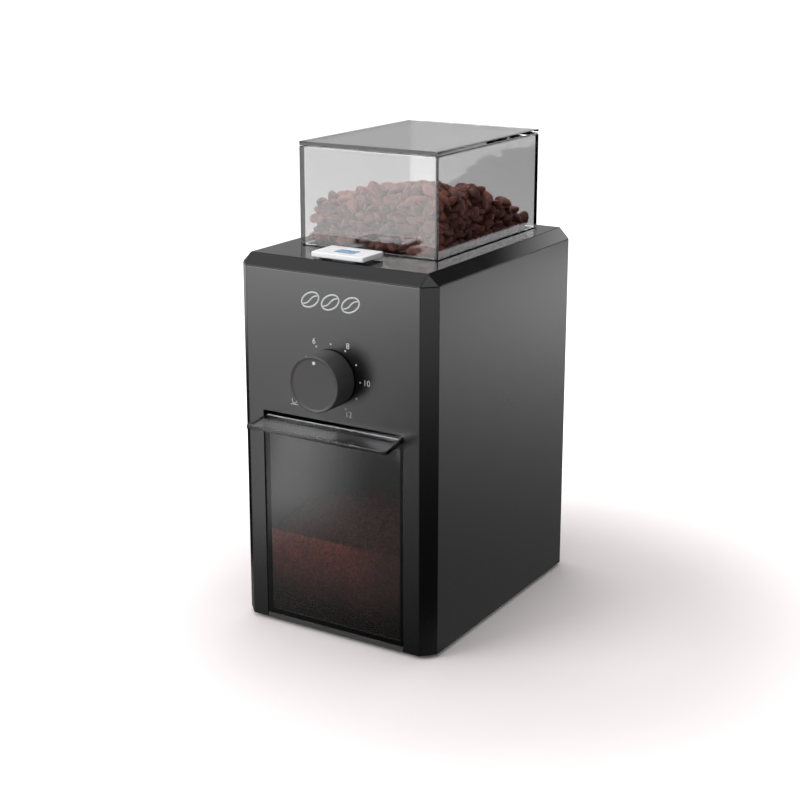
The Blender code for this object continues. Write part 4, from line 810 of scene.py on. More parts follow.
def build_hopper():
    """The clear box that holds the beans, open at its top and bottom."""
    clear = settings("clear")
    low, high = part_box("bean_hopper")
    low = Vector((low.x, low.y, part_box("top_deck")[1].z + 0.3 * MM))
    bm = bmesh.new()
    block(bm, low, high)
    ends = [face for face in bm.faces if abs(face.normal.z) > 0.9]
    bmesh.ops.delete(bm, geom=ends, context="FACES")
    bmesh.ops.solidify(bm, geom=bm.faces[:], thickness=clear.wall)
    darken_corners(bm, low, high, 0.5 * MM)
    finishes = ("smoke_clear", "smoke_edge")
    add_piece("hopper_walls", bm, finishes, MACHINE, "bean_hopper", "clear_smoke", bevel=0.35 * MM)


def build_lid():
    """The flat lid with a rim under it that drops inside the hopper's walls."""
    clear = settings("clear")
    low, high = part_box("hopper_lid")
    plate_z = high.z - 2.2 * MM
    bm = bmesh.new()
    faces = block(bm, (low.x, low.y, plate_z), high)
    under = [face for face in faces if face.normal.z < -0.9]
    bmesh.ops.inset_region(bm, faces=under, thickness=clear.wall + 0.4 * MM)
    ring = bmesh.ops.inset_region(bm, faces=under, thickness=1.6 * MM)["faces"]
    drop = bmesh.ops.extrude_face_region(bm, geom=ring)["geom"]
    bmesh.ops.translate(bm, vec=(0, 0, -1.2 * MM), verts=verts_of(drop))
    bmesh.ops.delete(bm, geom=ring, context="FACES_ONLY")
    # The lid's upright sides take the darker tint, painted shade for plastic seen edge on.
    for face in bm.faces:
        middle = face.calc_center_median()
        face.material_index = int(abs(face.normal.z) < 0.5 and middle.z > plate_z)
    finishes = ("smoke_clear", "smoke_edge")
    add_piece("lid_plate", bm, finishes, "hopper_lid_body", "hopper_lid", "clear_smoke", bevel=0.3 * MM)


def build_container():
    """The clear container for the ground coffee, with its lip and the two gussets under the lip's ends."""
    clear = settings("clear")
    low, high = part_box("ground_container")
    bm = bmesh.new()
    block(bm, (low.x, FRONT, low.z), high)
    top = [face for face in bm.faces if face.normal.z > 0.9]
    bmesh.ops.delete(bm, geom=top, context="FACES")
    bmesh.ops.solidify(bm, geom=bm.faces[:], thickness=clear.wall)
    darken_corners(bm, Vector((low.x, FRONT, low.z)), high, 0.8 * MM)
    finishes = ("smoke_container", "smoke_edge")
    add_piece(
        "container_box", bm, finishes, "container_body", "ground_container", "clear_smoke", bevel=0.35 * MM
    )
    build_lip(low, high)


def build_lip(low, high):
    """The pull lip: a drooping tray with a raised front edge and two gussets under its ends."""
    thick, drop, reach = settings("clear").wall, 2.0 * MM, FRONT - low.y
    edge, left, right = low.y + 1.8 * MM, low.x + 2 * MM, high.x - 2 * MM
    bm = bmesh.new()
    block(bm, (low.x, low.y, high.z - thick), (high.x, FRONT + thick * 0.98, high.z))
    slice_mesh(bm, y=[FRONT, edge], x=[left, right])
    for vert in bm.verts:
        vert.co.z -= drop * max(0.0, FRONT - vert.co.y) / reach
    tray = []
    for face in bm.faces:
        middle = face.calc_center_median()
        if face.normal.z > 0.8 and edge < middle.y < FRONT and left < middle.x < right:
            tray.append(face)
    bmesh.ops.inset_region(bm, faces=tray, thickness=0.01 * MM, depth=-0.7 * MM)
    under = high.z - thick
    for x0, x1 in ((low.x, left), (right, high.x)):
        gusset_low = (x0, FRONT - 8 * MM, under - 3.5 * MM)
        faces = block(bm, gusset_low, (x1, FRONT + 0.2 * MM, under + 0.4 * MM))
        for vert in {vert for face in faces for vert in face.verts}:
            if vert.co.y < FRONT - 4 * MM and vert.co.z < under:
                vert.co.z = under - 0.9 * MM
    bmesh.ops.recalc_face_normals(bm, faces=bm.faces)
    # The lip's upright sides take the darker tint, painted shade for plastic seen edge on.
    for face in bm.faces:
        face.material_index = int(abs(face.normal.z) < 0.5)
    add_piece(
        "container_lip", bm, ("smoke_lip", "smoke_edge"), "container_body", slot="clear_smoke",
        bevel=0.3 * MM, segments=2,
    )


# ---- controls ------------------------------------------------------------------------------------------
def build_knob():
    """The dial knob: a drum with a slightly dished face, a fine raised rim and a white dot."""
    low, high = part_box("quantity_knob")
    radius = (high.x - low.x) / 2
    centre = Vector(((low.x + high.x) / 2, FRONT, (low.z + high.z) / 2))
    reach = FRONT - low.y
    back = FRONT - high.y
    profile = [
        (0, reach - 0.5 * MM), (radius - 2.2 * MM, reach - 0.5 * MM), (radius - 1.3 * MM, reach - 0.35 * MM),
        (radius - 1.0 * MM, reach - 0.05 * MM), (radius - 0.6 * MM, reach),
        (radius - 0.25 * MM, reach - 0.12 * MM), (radius - 0.05 * MM, reach - 0.45 * MM),
        (radius, reach - 0.9 * MM), (radius + 0.1 * MM, back + 1.0 * MM), (radius, back + 0.3 * MM),
        (radius - 0.3 * MM, back), (radius - 1.8 * MM, back),
        (radius - 1.8 * MM, reach - 3 * MM), (5.5 * MM, reach - 3 * MM), (5.5 * MM, back + 1 * MM),
        (3.3 * MM, back + 1 * MM), (3.3 * MM, reach - 5 * MM), (0, reach - 5 * MM),
    ]  # fmt: skip
    knob = spun(profile, centre, "-Y", 96)
    add_piece("dial_knob", knob, "knob_plastic", "dial", "quantity_knob", "knob_grey")
    bm = bmesh.new()
    mark = Vector((centre.x, FRONT - reach + 0.47 * MM, centre.z + 11.3 * MM))
    disc(bm, mark, 0.95 * MM, 0.1 * MM, 24)
    add_piece("dial_mark", bm, "print_ink", "dial", slot="button_white", smooth=False)


def text_faces(bm, text, height, centre):
    """Adds flat lettering, standing on the front of the housing and raised by the thickness of its ink."""
    curve = bpy.data.curves.new("label", "FONT")
    curve.body = text
    curve.size = height * 1.38
    curve.align_x = "CENTER"
    curve.align_y = "CENTER"
    curve.extrude = 0.02 * MM
    curve.resolution_u = 6
    fresh = curve_faces(bm, curve)
    place = Matrix.Translation(centre) @ Matrix.Rotation(math.pi / 2, 4, "X")
    bmesh.ops.transform(bm, matrix=place, verts=fresh)


def stroke(bm, points, width, closed=False):
    """Adds a flat drawn line through (x, z) points on the front of the housing."""
    curve = bpy.data.curves.new("line", "CURVE")
    curve.dimensions = "3D"
    curve.bevel_depth = width / 2
    curve.bevel_resolution = 1
    curve.use_fill_caps = not closed
    path = curve.splines.new("POLY")
    path.points.add(len(points) - 1)
    for point, (x, z) in zip(path.points, points):
        point.co = (x, 0, z, 1)
    path.use_cyclic_u = closed
    fresh = curve_faces(bm, curve)
    bmesh.ops.scale(bm, vec=(1, 0.04 * MM / width, 1), verts=fresh)
    bmesh.ops.translate(bm, vec=(0, FRONT - 0.03 * MM, 0), verts=fresh)


def curve_faces(bm, curve):
    """Adds a curve's mesh to a bmesh and returns its vertices."""
    holder = bpy.data.objects.new("drawn", curve)
    bpy.context.scene.collection.objects.link(holder)
    bpy.context.view_layer.update()
    graph = bpy.context.evaluated_depsgraph_get()
    mesh = bpy.data.meshes.new_from_object(holder.evaluated_get(graph))
    bpy.data.objects.remove(holder)
    before = set(bm.verts)
    bm.from_mesh(mesh)
    bpy.data.meshes.remove(mesh)
    return [vert for vert in bm.verts if vert not in before]


def build_print():
    """The scale round the knob, the cup picture and a row of three beans."""
    control = settings("control")
    low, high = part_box("quantity_knob")
    cx, cz = (low.x + high.x) / 2, (low.z + high.z) / 2
    y = FRONT - 0.03 * MM
    bm = bmesh.new()
    for step in range(11):
        angle = math.radians(-150 + 30 * step)
        x, z = cx + control.scale_radius * math.sin(angle), cz + control.scale_radius * math.cos(angle)
        disc(bm, (x, y, z), 0.50 * MM, 0.04 * MM, 16)
    for number in (2, 4, 6, 8, 10, 12):
        angle = math.radians(-150 + 30 * (number - 2))
        reach = control.scale_radius + (3.0 if number < 10 else 3.3 if number == 12 else 3.9) * MM
        x, z = cx + reach * math.sin(angle), cz + reach * math.cos(angle)
        text_faces(bm, str(number), 3.2 * MM, Vector((x, y, z)))
    add_piece("dial_scale", bm, "print_ink", MACHINE, slot="button_white", smooth=False)

    bm = bmesh.new()
    ux, uz = cx - 23.2 * MM, cz - 16.2 * MM
    cup = [(-1.5, 1.5), (-1.4, -0.4), (-0.8, -1.0), (0.6, -1.0), (1.2, -0.4), (1.3, 1.5)]
    handle = [(1.3, 1.0), (2.1, 0.9), (2.2, 0.2), (1.3, -0.2)]
    saucer = [(-2.4, -1.7), (2.2, -1.7)]
    for points in (cup, handle, saucer):
        stroke(bm, [(ux + a * MM, uz + b * MM) for a, b in points], 0.38 * MM)
    add_piece("cup_picture", bm, "print_ink", MACHINE, slot="button_white", smooth=False)

    bm = bmesh.new()
    ez, tilt = 184.7 * MM, math.radians(28)
    for ex in (cx - 12.3 * MM, cx, cx + 12.3 * MM):
        turns = np.linspace(0, 2 * math.pi, 48)[:-1]
        rim = [(ex + 5.7 * MM * math.cos(a), ez + 3.5 * MM * math.sin(a)) for a in turns]
        crease = [(ex + t * 5.0 * MM, ez + 0.6 * MM * math.sin(t * 3.0)) for t in np.linspace(-1, 1, 17)]
        stroke(bm, [turn_point(point, (ex, ez), tilt) for point in rim], 0.95 * MM, closed=True)
        stroke(bm, [turn_point(point, (ex, ez), tilt) for point in crease], 0.8 * MM)
    add_piece("bean_emblem", bm, "print_ink", MACHINE, slot="button_white", smooth=False)


def turn_point(point, centre, angle):
    x, z = point[0] - centre[0], point[1] - centre[1]
    cosine, sine = math.cos(angle), math.sin(angle)
    return centre[0] + x * cosine - z * sine, centre[1] + x * sine + z * cosine


def build_button():
    """The start button: a soft-edged white slab on its stem, with a blue window let into it."""
    low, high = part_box("start_button")
    lens_low, lens_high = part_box("button_lens")
    middle = (low + high) / 2
    slab_z = high.z - 2.6 * MM
    bm = bmesh.new()
    block(bm, (low.x, low.y, slab_z), high)
    upright = [edge for edge in bm.edges if abs(edge.verts[0].co.z - edge.verts[1].co.z) > 1 * MM]
    bmesh.ops.bevel(
        bm, geom=upright, offset=1.0 * MM, segments=5, profile=0.5,
        affect="EDGES", material=-1, clamp_overlap=True,
    )
    gap = 0.25 * MM
    room = Vector((gap, gap, 1))
    pocket_low, pocket_high = lens_low - room, lens_high + room
    slice_mesh(bm, x=[pocket_low.x, pocket_high.x], y=[pocket_low.y, pocket_high.y])
    upward = [face for face in bm.faces if face.normal.z > 0.9]
    pocket = [face for face in upward if inside(face.calc_center_median(), pocket_low, pocket_high)]
    sunk = bmesh.ops.extrude_face_region(bm, geom=pocket)["geom"]
    bmesh.ops.translate(bm, vec=(0, 0, -1.8 * MM), verts=verts_of(sunk))
    bmesh.ops.delete(bm, geom=[face for face in pocket if face.is_valid], context="FACES_ONLY")
    add_piece(
        "button_slab", bm, "button_plastic", "button_body", "start_button", "button_white", bevel=0.45 * MM
    )
    stem = bmesh.new()
    stem_low = (middle.x - 7 * MM, middle.y - 4 * MM, 198 * MM)
    block(stem, stem_low, (middle.x + 7 * MM, middle.y + 4 * MM, slab_z - 0.01 * MM))
    add_piece("button_stem", stem, "button_plastic", "button_body", slot="button_white", bevel=0.3 * MM)
    pin_top, pin_radius = 197.9 * MM, 2.0 * MM
    profile = [
        (0, pin_top), (pin_radius, pin_top), (pin_radius, low.z + 0.3 * MM),
        (pin_radius - 0.3 * MM, low.z), (0, low.z),
    ]  # fmt: skip
    pin = spun(profile, (middle.x, middle.y, 0), steps=24)
    add_piece("button_pin", pin, "button_plastic", "button_body", slot="button_white")
    lens = bmesh.new()
    block(lens, lens_low, lens_high)
    add_piece("button_window", lens, "window_lens", "button_body", "button_lens", "lens_blue", bevel=0.2 * MM)


def build_lever():
    """The fineness lever's tab, with grip ribs, at the left side."""
    low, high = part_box("fineness_tab")
    bm = bmesh.new()
    block(bm, low + Vector((0.6 * MM, 0, 0)), high)
    ribs = [low.y + (high.y - low.y) * i / 10 for i in range(1, 10)]
    slice_mesh(bm, y=ribs)
    bands = []
    for face in bm.faces:
        middle = face.calc_center_median()
        if face.normal.x < -0.9 and int((middle.y - low.y) / (high.y - low.y) * 10) % 2 == 1:
            bands.append(face)
    grown = bmesh.ops.extrude_discrete_faces(bm, faces=bands)["faces"]
    moved = {vert for face in grown for vert in face.verts}
    bmesh.ops.translate(bm, vec=(-0.6 * MM, 0, 0), verts=list(moved))
    rounding = {"bevel": 0.15 * MM, "segments": 2}
    add_piece("lever_tab", bm, "knob_plastic", "adjuster", "fineness_tab", "knob_grey", **rounding)


# ---- beans and ground coffee ---------------------------------------------------------------------------
HEAP_TOP, HEAP_WAVE = 240.5 * MM, 1.6 * MM
HEAP_PEAK_X, HEAP_PEAK_Y = 20 * MM, -25 * MM
BEAN_PITCH = (6.4 * MM, 6.2 * MM, 5.0 * MM)
BEAN_LAYERS = 9
BEAN_MARGIN = 2.8 * MM
BEAN_RAISE = 3.0 * MM
BEAN_STRAY = 1.4 * MM
SEEN_AT_WALL, SEEN_AT_TOP = 7.5 * MM, 9.5 * MM
GRAIN_COUNT = 2600


def heap_height(x, y):
    """Height of the top of the beans over a point, measured from the middle of the housing."""
    level = HEAP_TOP - 3.77 * (y - HEAP_PEAK_Y) ** 2 - 3.5 * (x - HEAP_PEAK_X) ** 2
    return level + HEAP_WAVE * math.sin(x * 190 + 1.0) * math.cos(y * 150)


def unit_bean(length):
    """Points and faces of one bean: round above, flat below with a shallow crease, and its local places."""
    bm = bmesh.new()
    bmesh.ops.create_uvsphere(bm, u_segments=10, v_segments=6, radius=0.5)
    bmesh.ops.rotate(bm, verts=bm.verts, matrix=Matrix.Rotation(math.pi / 2, 3, "Y"))
    places = []
    for vert in bm.verts:
        x, y, z = vert.co
        places.append((2 * x, 2 * y, 2 * z))
        width, thick = 0.74, 0.62 if z > 0 else 0.36
        sink = 0.055 * max(0, 1 - abs(y) / 0.16) * (1 if z < -0.12 else 0)
        vert.co = (x, y * width, z * thick + sink)
    bmesh.ops.scale(bm, vec=(length, length, length), verts=bm.verts)
    points = np.array([vert.co for vert in bm.verts])
    faces = [[vert.index for vert in face.verts] for face in bm.faces]
    bm.free()
    return points, faces, np.array(places)


def bean_spots(rng, low, high):
    """Places for the beans that can be seen: those beside a wall or on top of the heap."""
    along, back, up = BEAN_PITCH
    spots = []
    for layer in range(BEAN_LAYERS):
        z = low.z + BEAN_RAISE + layer * up
        for row in range(int((high.y - low.y) / back) + 1):
            y = low.y + BEAN_MARGIN + row * back + (layer % 2) * back / 2
            for column in range(int((high.x - low.x) / along) + 1):
                x = low.x + BEAN_MARGIN + column * along + ((row + layer) % 2) * along / 2
                x, y1, z1 = (value + rng.uniform(-BEAN_STRAY, BEAN_STRAY) for value in (x, y, z))
                if not (low.x < x < high.x and low.y < y1 < high.y):
                    continue
                top = heap_height(x - MIDDLE.x, y1 - MIDDLE.y) - BEAN_RAISE
                wall = min(x - low.x, high.x - x, y1 - low.y, high.y - y1)
                if z1 <= top and (wall < SEEN_AT_WALL or top - z1 < SEEN_AT_TOP):
                    spots.append((x, y1, z1))
    return spots


def build_beans():
    """A heap of beans in the hopper, one by one against the walls and on top, over a plain core."""
    coffee = settings("coffee")
    hop_low, hop_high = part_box("bean_hopper")
    inset = settings("clear").wall + 0.25 * MM
    deck_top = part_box("top_deck")[1].z
    low = Vector((hop_low.x + inset, hop_low.y + inset, deck_top + 0.3 * MM))
    high = Vector((hop_high.x - inset, hop_high.y - inset, hop_high.z - 6 * MM))
    rng = np.random.default_rng(coffee.seed)
    base, faces, places = unit_bean(coffee.bean_length)
    points, polygons, tones = [], [], []
    for x, y, z in bean_spots(rng, low, high):
        size = rng.normal(1.0, 0.07)
        roll = rng.uniform(-0.7, 0.7) + (math.pi if rng.random() < 0.45 else 0)
        turn = Euler((roll, rng.uniform(-0.6, 0.6), rng.uniform(0, 6.28)))
        if rng.random() < 0.3:
            turn = Euler((rng.uniform(0, 6.28), rng.uniform(-1.2, 1.2), rng.uniform(0, 6.28)))
        moved = base * np.clip(size, 0.85, 1.15) @ np.array(turn.to_matrix()).T + (x, y, z)
        shift = np.maximum(np.array(low) - moved.min(0), 0) - np.maximum(moved.max(0) - np.array(high), 0)
        first = len(points) * len(base)
        points.append(moved + shift)
        polygons += [[index + first for index in face] for face in faces]
        tones += [float(np.clip(rng.normal(0.42, 0.24), 0, 1))] * len(base)
    mesh = bpy.data.meshes.new("coffee_beans")
    mesh.from_pydata(np.concatenate(points).tolist(), [], polygons)
    mesh.attributes.new("bean_tone", "FLOAT", "POINT").data.foreach_set("value", tones)
    stored = mesh.attributes.new("bean_place", "FLOAT_VECTOR", "POINT")
    stored.data.foreach_set("vector", np.tile(places, (len(points), 1)).ravel().astype(np.float32))
    add_mesh("coffee_beans", mesh, "roasted_bean", MACHINE)
    margin = 4.5 * MM
    sides = (low.x + margin, low.y + margin), (high.x - margin, high.y - margin)
    core = filled_heap(sides, (20, 26), lambda x, y: heap_height(x, y) - 7.0 * MM, low.z)
    add_piece("bean_core", core, "roasted_bean", MACHINE)


def ground_height(x, y):
    """Height of the ground coffee over a point of the container, measured from the middle of the housing."""
    back = max(0.0, (y + 77.5 * MM) / (64 * MM))
    climb = 14.0 * MM * math.sin(min(1.0, back * 1.9) * math.pi / 2) ** 1.5
    fall = 12.0 * MM * max(0, back - 0.5) ** 1.4
    hollow = 4.0 * (x - 10 * MM) ** 2 * min(1, back * 2.5)
    ripple = noise.fractal(Vector((x * 220, y * 220, 0.3)), 0.8, 2.1, 5)
    return 53.5 * MM + climb - fall - hollow + 0.7 * MM * ripple


def build_ground_coffee():
    """The heap under the chute: a rough surface down to the container's floor, with loose grains on top."""
    low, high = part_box("ground_container")
    wall = settings("clear").wall + 0.25 * MM
    x0, x1 = low.x + wall, high.x - wall
    y0, y1 = FRONT + wall, high.y - wall
    floor = low.z + 2.75 * MM
    bm = filled_heap(((x0, y0), (x1, y1)), (110, 86), ground_height, floor)
    bmesh.ops.recalc_face_normals(bm, faces=bm.faces)
    # Upright faces get the finish with painted shade, upward faces get the loose coffee.
    for face in bm.faces:
        face.material_index = int(face.normal.z > 0.3)
    add_piece("ground_coffee", bm, ("packed_coffee", "loose_coffee"), "container_body")
    scatter_grains(x0 + 1 * MM, x1 - 1 * MM, y0 + 1 * MM, y1 - 1 * MM)


def scatter_grains(x0, x1, y0, y1):
    """Loose coarse grains lying on the heap."""
    seed_shape = bmesh.new()
    bmesh.ops.create_icosphere(seed_shape, subdivisions=1, radius=1)
    base = np.array([vert.co for vert in seed_shape.verts])
    faces = [[vert.index for vert in face.verts] for face in seed_shape.faces]
    seed_shape.free()
    rng = np.random.default_rng(settings("coffee").seed + 1)
    points, polygons = [], []
    for index in range(GRAIN_COUNT):
        x, y = rng.uniform(x0, x1), y0 + (y1 - y0) * rng.uniform(0, 1) ** 1.4
        size = rng.uniform(0.35, 0.8) * MM
        z = ground_height(x - MIDDLE.x, y - MIDDLE.y) + size * 0.1
        points.append(base * size * rng.uniform(0.7, 1.15, (len(base), 1)) + (x, y, z))
        polygons += [[corner + index * len(base) for corner in face] for face in faces]
    mesh = bpy.data.meshes.new("loose_grains")
    mesh.from_pydata(np.concatenate(points).tolist(), [], polygons)
    add_mesh("loose_grains", mesh, "loose_coffee", "container_body", smooth=False)


# ---- mechanism -----------------------------------------------------------------------------------------
# Each inner node: its finish, body, slot and the rounding of its edges.
MECHANISM = {
    "bean_funnel": ("inner_plastic", MACHINE, "inner_plastic", 0.0),
    "container_bay": ("bay_plastic", MACHINE, "inner_plastic", 0.0003),
    "burr_chamber": ("inner_plastic", MACHINE, "inner_plastic", 0.0002),
    "coffee_chute": ("inner_plastic", MACHINE, "inner_plastic", 0.0003),
    "chassis": ("inner_plastic", MACHINE, "inner_plastic", 0.0003),
    "burr_bush_lower": ("sintered_bronze", MACHINE, "bronze", 0.0002),
    "burr_bush_upper": ("sintered_bronze", MACHINE, "bronze", 0.0002),
    "motor_can": ("zinc_plate", MACHINE, "steel", 0.0002),
    "motor_bush_top": ("sintered_bronze", MACHINE, "bronze", 0.0002),
    "motor_magnet_left": ("ferrite_block", MACHINE, "ferrite", 0.0003),
    "motor_magnet_right": ("ferrite_block", MACHINE, "ferrite", 0.0003),
    "motor_end_cap": ("inner_plastic", MACHINE, "inner_plastic", 0.0002),
    "carbon_brush_left": ("ferrite_block", MACHINE, "ferrite", 0.0002),
    "carbon_brush_right": ("ferrite_block", MACHINE, "ferrite", 0.0002),
    "timer_board": ("circuit_board", MACHINE, "circuit_board", 0.0001),
    "board_screw_1": ("turned_steel", MACHINE, "steel", 0.0),
    "board_screw_2": ("turned_steel", MACHINE, "steel", 0.0),
    "potentiometer": ("natural_nylon", MACHINE, "nylon", 0.0002),
    "timer_relay": ("window_lens", MACHINE, "lens_blue", 0.0004),
    "switch_bracket": ("zinc_plate", MACHINE, "steel", 0.0001),
    "start_switch": ("inner_plastic", MACHINE, "inner_plastic", 0.0003),
    "button_spring": ("turned_steel", MACHINE, "steel", 0.0),
    "burr_shaft": ("turned_steel", "burr_rotor", "steel", 0.0003),
    "drive_gear": ("natural_nylon", "burr_rotor", "nylon", 0.0),
    "lower_burr_carrier": ("zinc_plate", "burr_rotor", "steel", 0.0002),
    "lower_burr": ("burr_steel", "burr_rotor", "steel", 0.0001),
    "feed_auger": ("zinc_plate", "burr_rotor", "steel", 0.0001),
    "auger_nut": ("turned_steel", "burr_rotor", "steel", 0.0003),
    "upper_burr_carrier": ("inner_plastic", "upper_burr_unit", "inner_plastic", 0.0002),
    "upper_burr": ("burr_steel", "upper_burr_unit", "steel", 0.0001),
    "adjusting_ring": ("natural_nylon", "adjuster", "nylon", 0.0001),
    "armature_core": ("zinc_plate", "armature", "steel", 0.0001),
    "motor_shaft": ("turned_steel", "armature", "steel", 0.0002),
    "motor_pinion": ("turned_steel", "armature", "steel", 0.0),
    "winding_top": ("enamelled_copper", "armature", "copper", 0.0004),
    "winding_bottom": ("enamelled_copper", "armature", "copper", 0.0004),
    "commutator": ("enamelled_copper", "armature", "copper", 0.0002),
    "cooling_fan": ("natural_nylon", "armature", "nylon", 0.0001),
    "dial_shaft": ("turned_steel", "dial", "steel", 0.0003),
}


def build_mechanism():
    """Every inner piece as a smoothed copy in its own finish; the spring gets a mesh of its own."""
    for node, (label, body, slot, bevel) in MECHANISM.items():
        piece = refine(node, label, body, bevel)
        if node == "button_spring":
            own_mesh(piece)


# ---- stage ---------------------------------------------------------------------------------------------
CAMERA = {
    "azimuth": 31.448, "elevation": 14.737, "place": (0.4364, -0.7257, 0.3677), "lens": 70.87, "shift": -0.07
}  # fmt: skip
# Each lamp: name, place, the point it faces, its size and its power.
LAMPS = (
    ("front_softbox", (-0.42, -0.62, 0.42), (0.0, -0.08, 0.16), (0.55, 0.42), 3.0),
    ("top_softbox", (-0.12, 0.05, 1.10), (0.0, 0.0, 0.20), (0.55, 0.55), 4.4),
)
SKY = {"seen": 1.1, "ambient": 0.50}
# Each glow: its direction, the angles in degrees where it starts and stops fading, and its strength.
GLOWS = (
    ((-0.47, -0.77, 0.43), 14, 22, 3.0),
    ((0.55, 0.80, 0.22), 8, 13, 3.0),
    ((-0.504, 0.825, 0.254), 10, 40, 0.38),
    ((-0.504, -0.254, 0.825), 6, 30, 0.95),
    ((0.165, 0.915, 0.36), 2, 7, 2.2),
    ((0.605, -0.284, 0.74), 6, 24, 1.3),
)
DIM_GLOW = 0.06
FLOOR_TINT, FLOOR_BOUNCE = (1.0, 0.935, 0.94), (0.35, 0.35, 0.35)
SHADE_MIDDLE = (0.05, -0.01, 0)
POOL_ALONG, POOL_ACROSS = (-0.52, -0.854, 0), (0.854, -0.52, 0)


def seen_in_gloss(tree):
    """One for light mirrored by a glossy surface, nought for what is seen straight or through clear parts."""
    path = tree.nodes.new("ShaderNodeLightPath")
    mirrored = math_node(tree, "MINIMUM", path.outputs["Glossy Depth"], 1.0)
    straight = math_node(tree, "SUBTRACT", 1.0, path.outputs["Is Diffuse Ray"])
    return math_node(tree, "MULTIPLY", mirrored, straight), path


def floor_finish():
    """A pale sweep that glossy plastic mirrors as two long pools, front left and rear right."""
    values = {"Roughness": 0.9, "Specular_IOR_Level": 0.0, "Emission_Color": (1, 1, 1)}
    material, tree, shader = new_finish("pale_floor", **values)

    def add(first, second):
        return math_node(tree, "ADD", first, second)

    def times(first, second):
        return math_node(tree, "MULTIPLY", first, second)

    def size(value):
        return math_node(tree, "ABSOLUTE", value)

    def step(value, *limits):
        return smooth_step(tree, value, *limits)

    # What the eye sees: a tinted floor that turns white away from the shaded middle.
    gloss, path = seen_in_gloss(tree)
    seen, soft = path.outputs["Is Camera Ray"], path.outputs["Is Diffuse Ray"]
    plain = colour_mix(tree, soft, (1.0, 1.0, 1.0), FLOOR_BOUNCE)
    tone = colour_mix(tree, seen, plain, FLOOR_TINT)
    place = object_position(tree)
    shaded = vector_math(tree, "SUBTRACT", place, SHADE_MIDDLE, "Vector")
    far = step(vector_math(tree, "LENGTH", shaded), 0.12, 0.32, 0.0, 0.70)
    feed(tree, shader.inputs, Base_Color=tone, Emission_Strength=times(seen, far))

    # The pool in front: brighter with distance, sloping off to one side, with a near and a far panel.
    along = vector_math(tree, "DOT_PRODUCT", place, POOL_ALONG)
    across = vector_math(tree, "DOT_PRODUCT", place, POOL_ACROSS)
    front = math_node(tree, "POWER", range_node(tree, along, 0.0, 0.95), 0.85)
    near_slant = step(across, -0.03, 0.09, 1.36, 0.9)
    far_slant = step(across, -0.10, 0.30, 1.1, 0.5)
    front = times(front, times(near_slant, far_slant))
    panel = times(step(along, 0.17, 0.30), step(along, 0.62, 0.50))
    panel = times(panel, step(across, 0.06, 0.0, 0.0, 1.2))
    front = add(front, times(panel, step(across, -0.035, -0.005)))
    far_panel = times(step(along, 1.0, 1.06), step(across, -0.18, -0.14))
    front = range_node(tree, far_panel, 0.0, 1.0, front, 3.9)

    # The pool behind, which ends along a line turned by 45 degrees.
    behind = times(along, -1.0)
    rear = range_node(tree, math_node(tree, "POWER", size(behind), 2.0), 0.0, 1.0, 0.17, 2.15)
    rear = times(rear, step(behind, -0.04, 0.0))
    rear = times(rear, step(add(behind, across), 0.985, 1.02, 1.0, 0.0))

    # Both pools widen with distance. Past them the floor glows again.
    spread = size(math_node(tree, "SUBTRACT", across, 0.04))
    spread = math_node(tree, "MULTIPLY_ADD", size(along), -0.35, spread)
    pools = times(add(front, rear), step(spread, 0.05, 0.12, 1.0, 0.0))
    mirrored = tree.nodes.new("ShaderNodeEmission")
    feed(tree, mirrored.inputs, Strength=add(pools, step(size(across), 0.5, 0.9, 0.0, 0.8)))
    mix_surface(tree, gloss, shader, mirrored)
    return material


def studio_sky():
    """White surroundings that glossy plastic mirrors as a dim room with a few soft panels."""
    world = bpy.data.worlds.new("studio")
    world.use_nodes = True
    tree = world.node_tree
    direction = tree.nodes.new("ShaderNodeTexCoord").outputs["Generated"]
    total = DIM_GLOW
    for aim, inner, outer, strength in GLOWS:
        facing = vector_math(tree, "DOT_PRODUCT", direction, tuple(Vector(aim).normalized()))
        low, high = math.cos(math.radians(outer)), math.cos(math.radians(inner))
        total = math_node(tree, "ADD", total, smooth_step(tree, facing, low, high, 0.0, strength))
    gloss, path = seen_in_gloss(tree)
    soft = range_node(tree, path.outputs["Is Diffuse Ray"], 0.0, 1.0, SKY["seen"], SKY["ambient"])
    strength = range_node(tree, gloss, 0.0, 1.0, soft, total)
    feed(tree, tree.nodes["Background"].inputs, Strength=strength, Color=(1, 1, 1))
    return world


def build_stage():
    """The pale floor, the soft lamps, the surroundings and the camera."""
    bm = bmesh.new()
    bmesh.ops.create_grid(bm, x_segments=1, y_segments=1, size=12)
    mesh = bpy.data.meshes.new("studio_floor")
    bm.to_mesh(mesh)
    bm.free()
    mesh.materials.append(floor_finish())
    floor = bpy.data.objects.new("studio_floor", mesh)
    bpy.context.scene.collection.objects.link(floor)

    for name, place, target, size, power in LAMPS:
        lamp = bpy.data.lights.new(name, "AREA")
        lamp.shape = "RECTANGLE"
        lamp.size, lamp.size_y = size
        lamp.energy = power
        holder = bpy.data.objects.new(name, lamp)
        holder.location = MIDDLE + Vector(place)
        aim = MIDDLE + Vector(target) - holder.location
        holder.rotation_euler = aim.to_track_quat("-Z", "Y").to_euler()
        holder.visible_camera = False
        bpy.context.scene.collection.objects.link(holder)

    bpy.context.scene.world = studio_sky()

    camera = bpy.data.cameras.new("studio_camera")
    camera.lens = CAMERA["lens"]
    camera.sensor_width = 36
    camera.shift_y = CAMERA["shift"]
    camera.clip_start = 0.05
    holder = bpy.data.objects.new("studio_camera", camera)
    holder.location = MIDDLE + Vector(CAMERA["place"])
    tilt = math.radians(90 - CAMERA["elevation"])
    holder.rotation_euler = (tilt, 0, math.radians(CAMERA["azimuth"]))
    bpy.context.scene.collection.objects.link(holder)
    bpy.context.scene.camera = holder
    bpy.context.scene.view_settings.view_transform = "Standard"


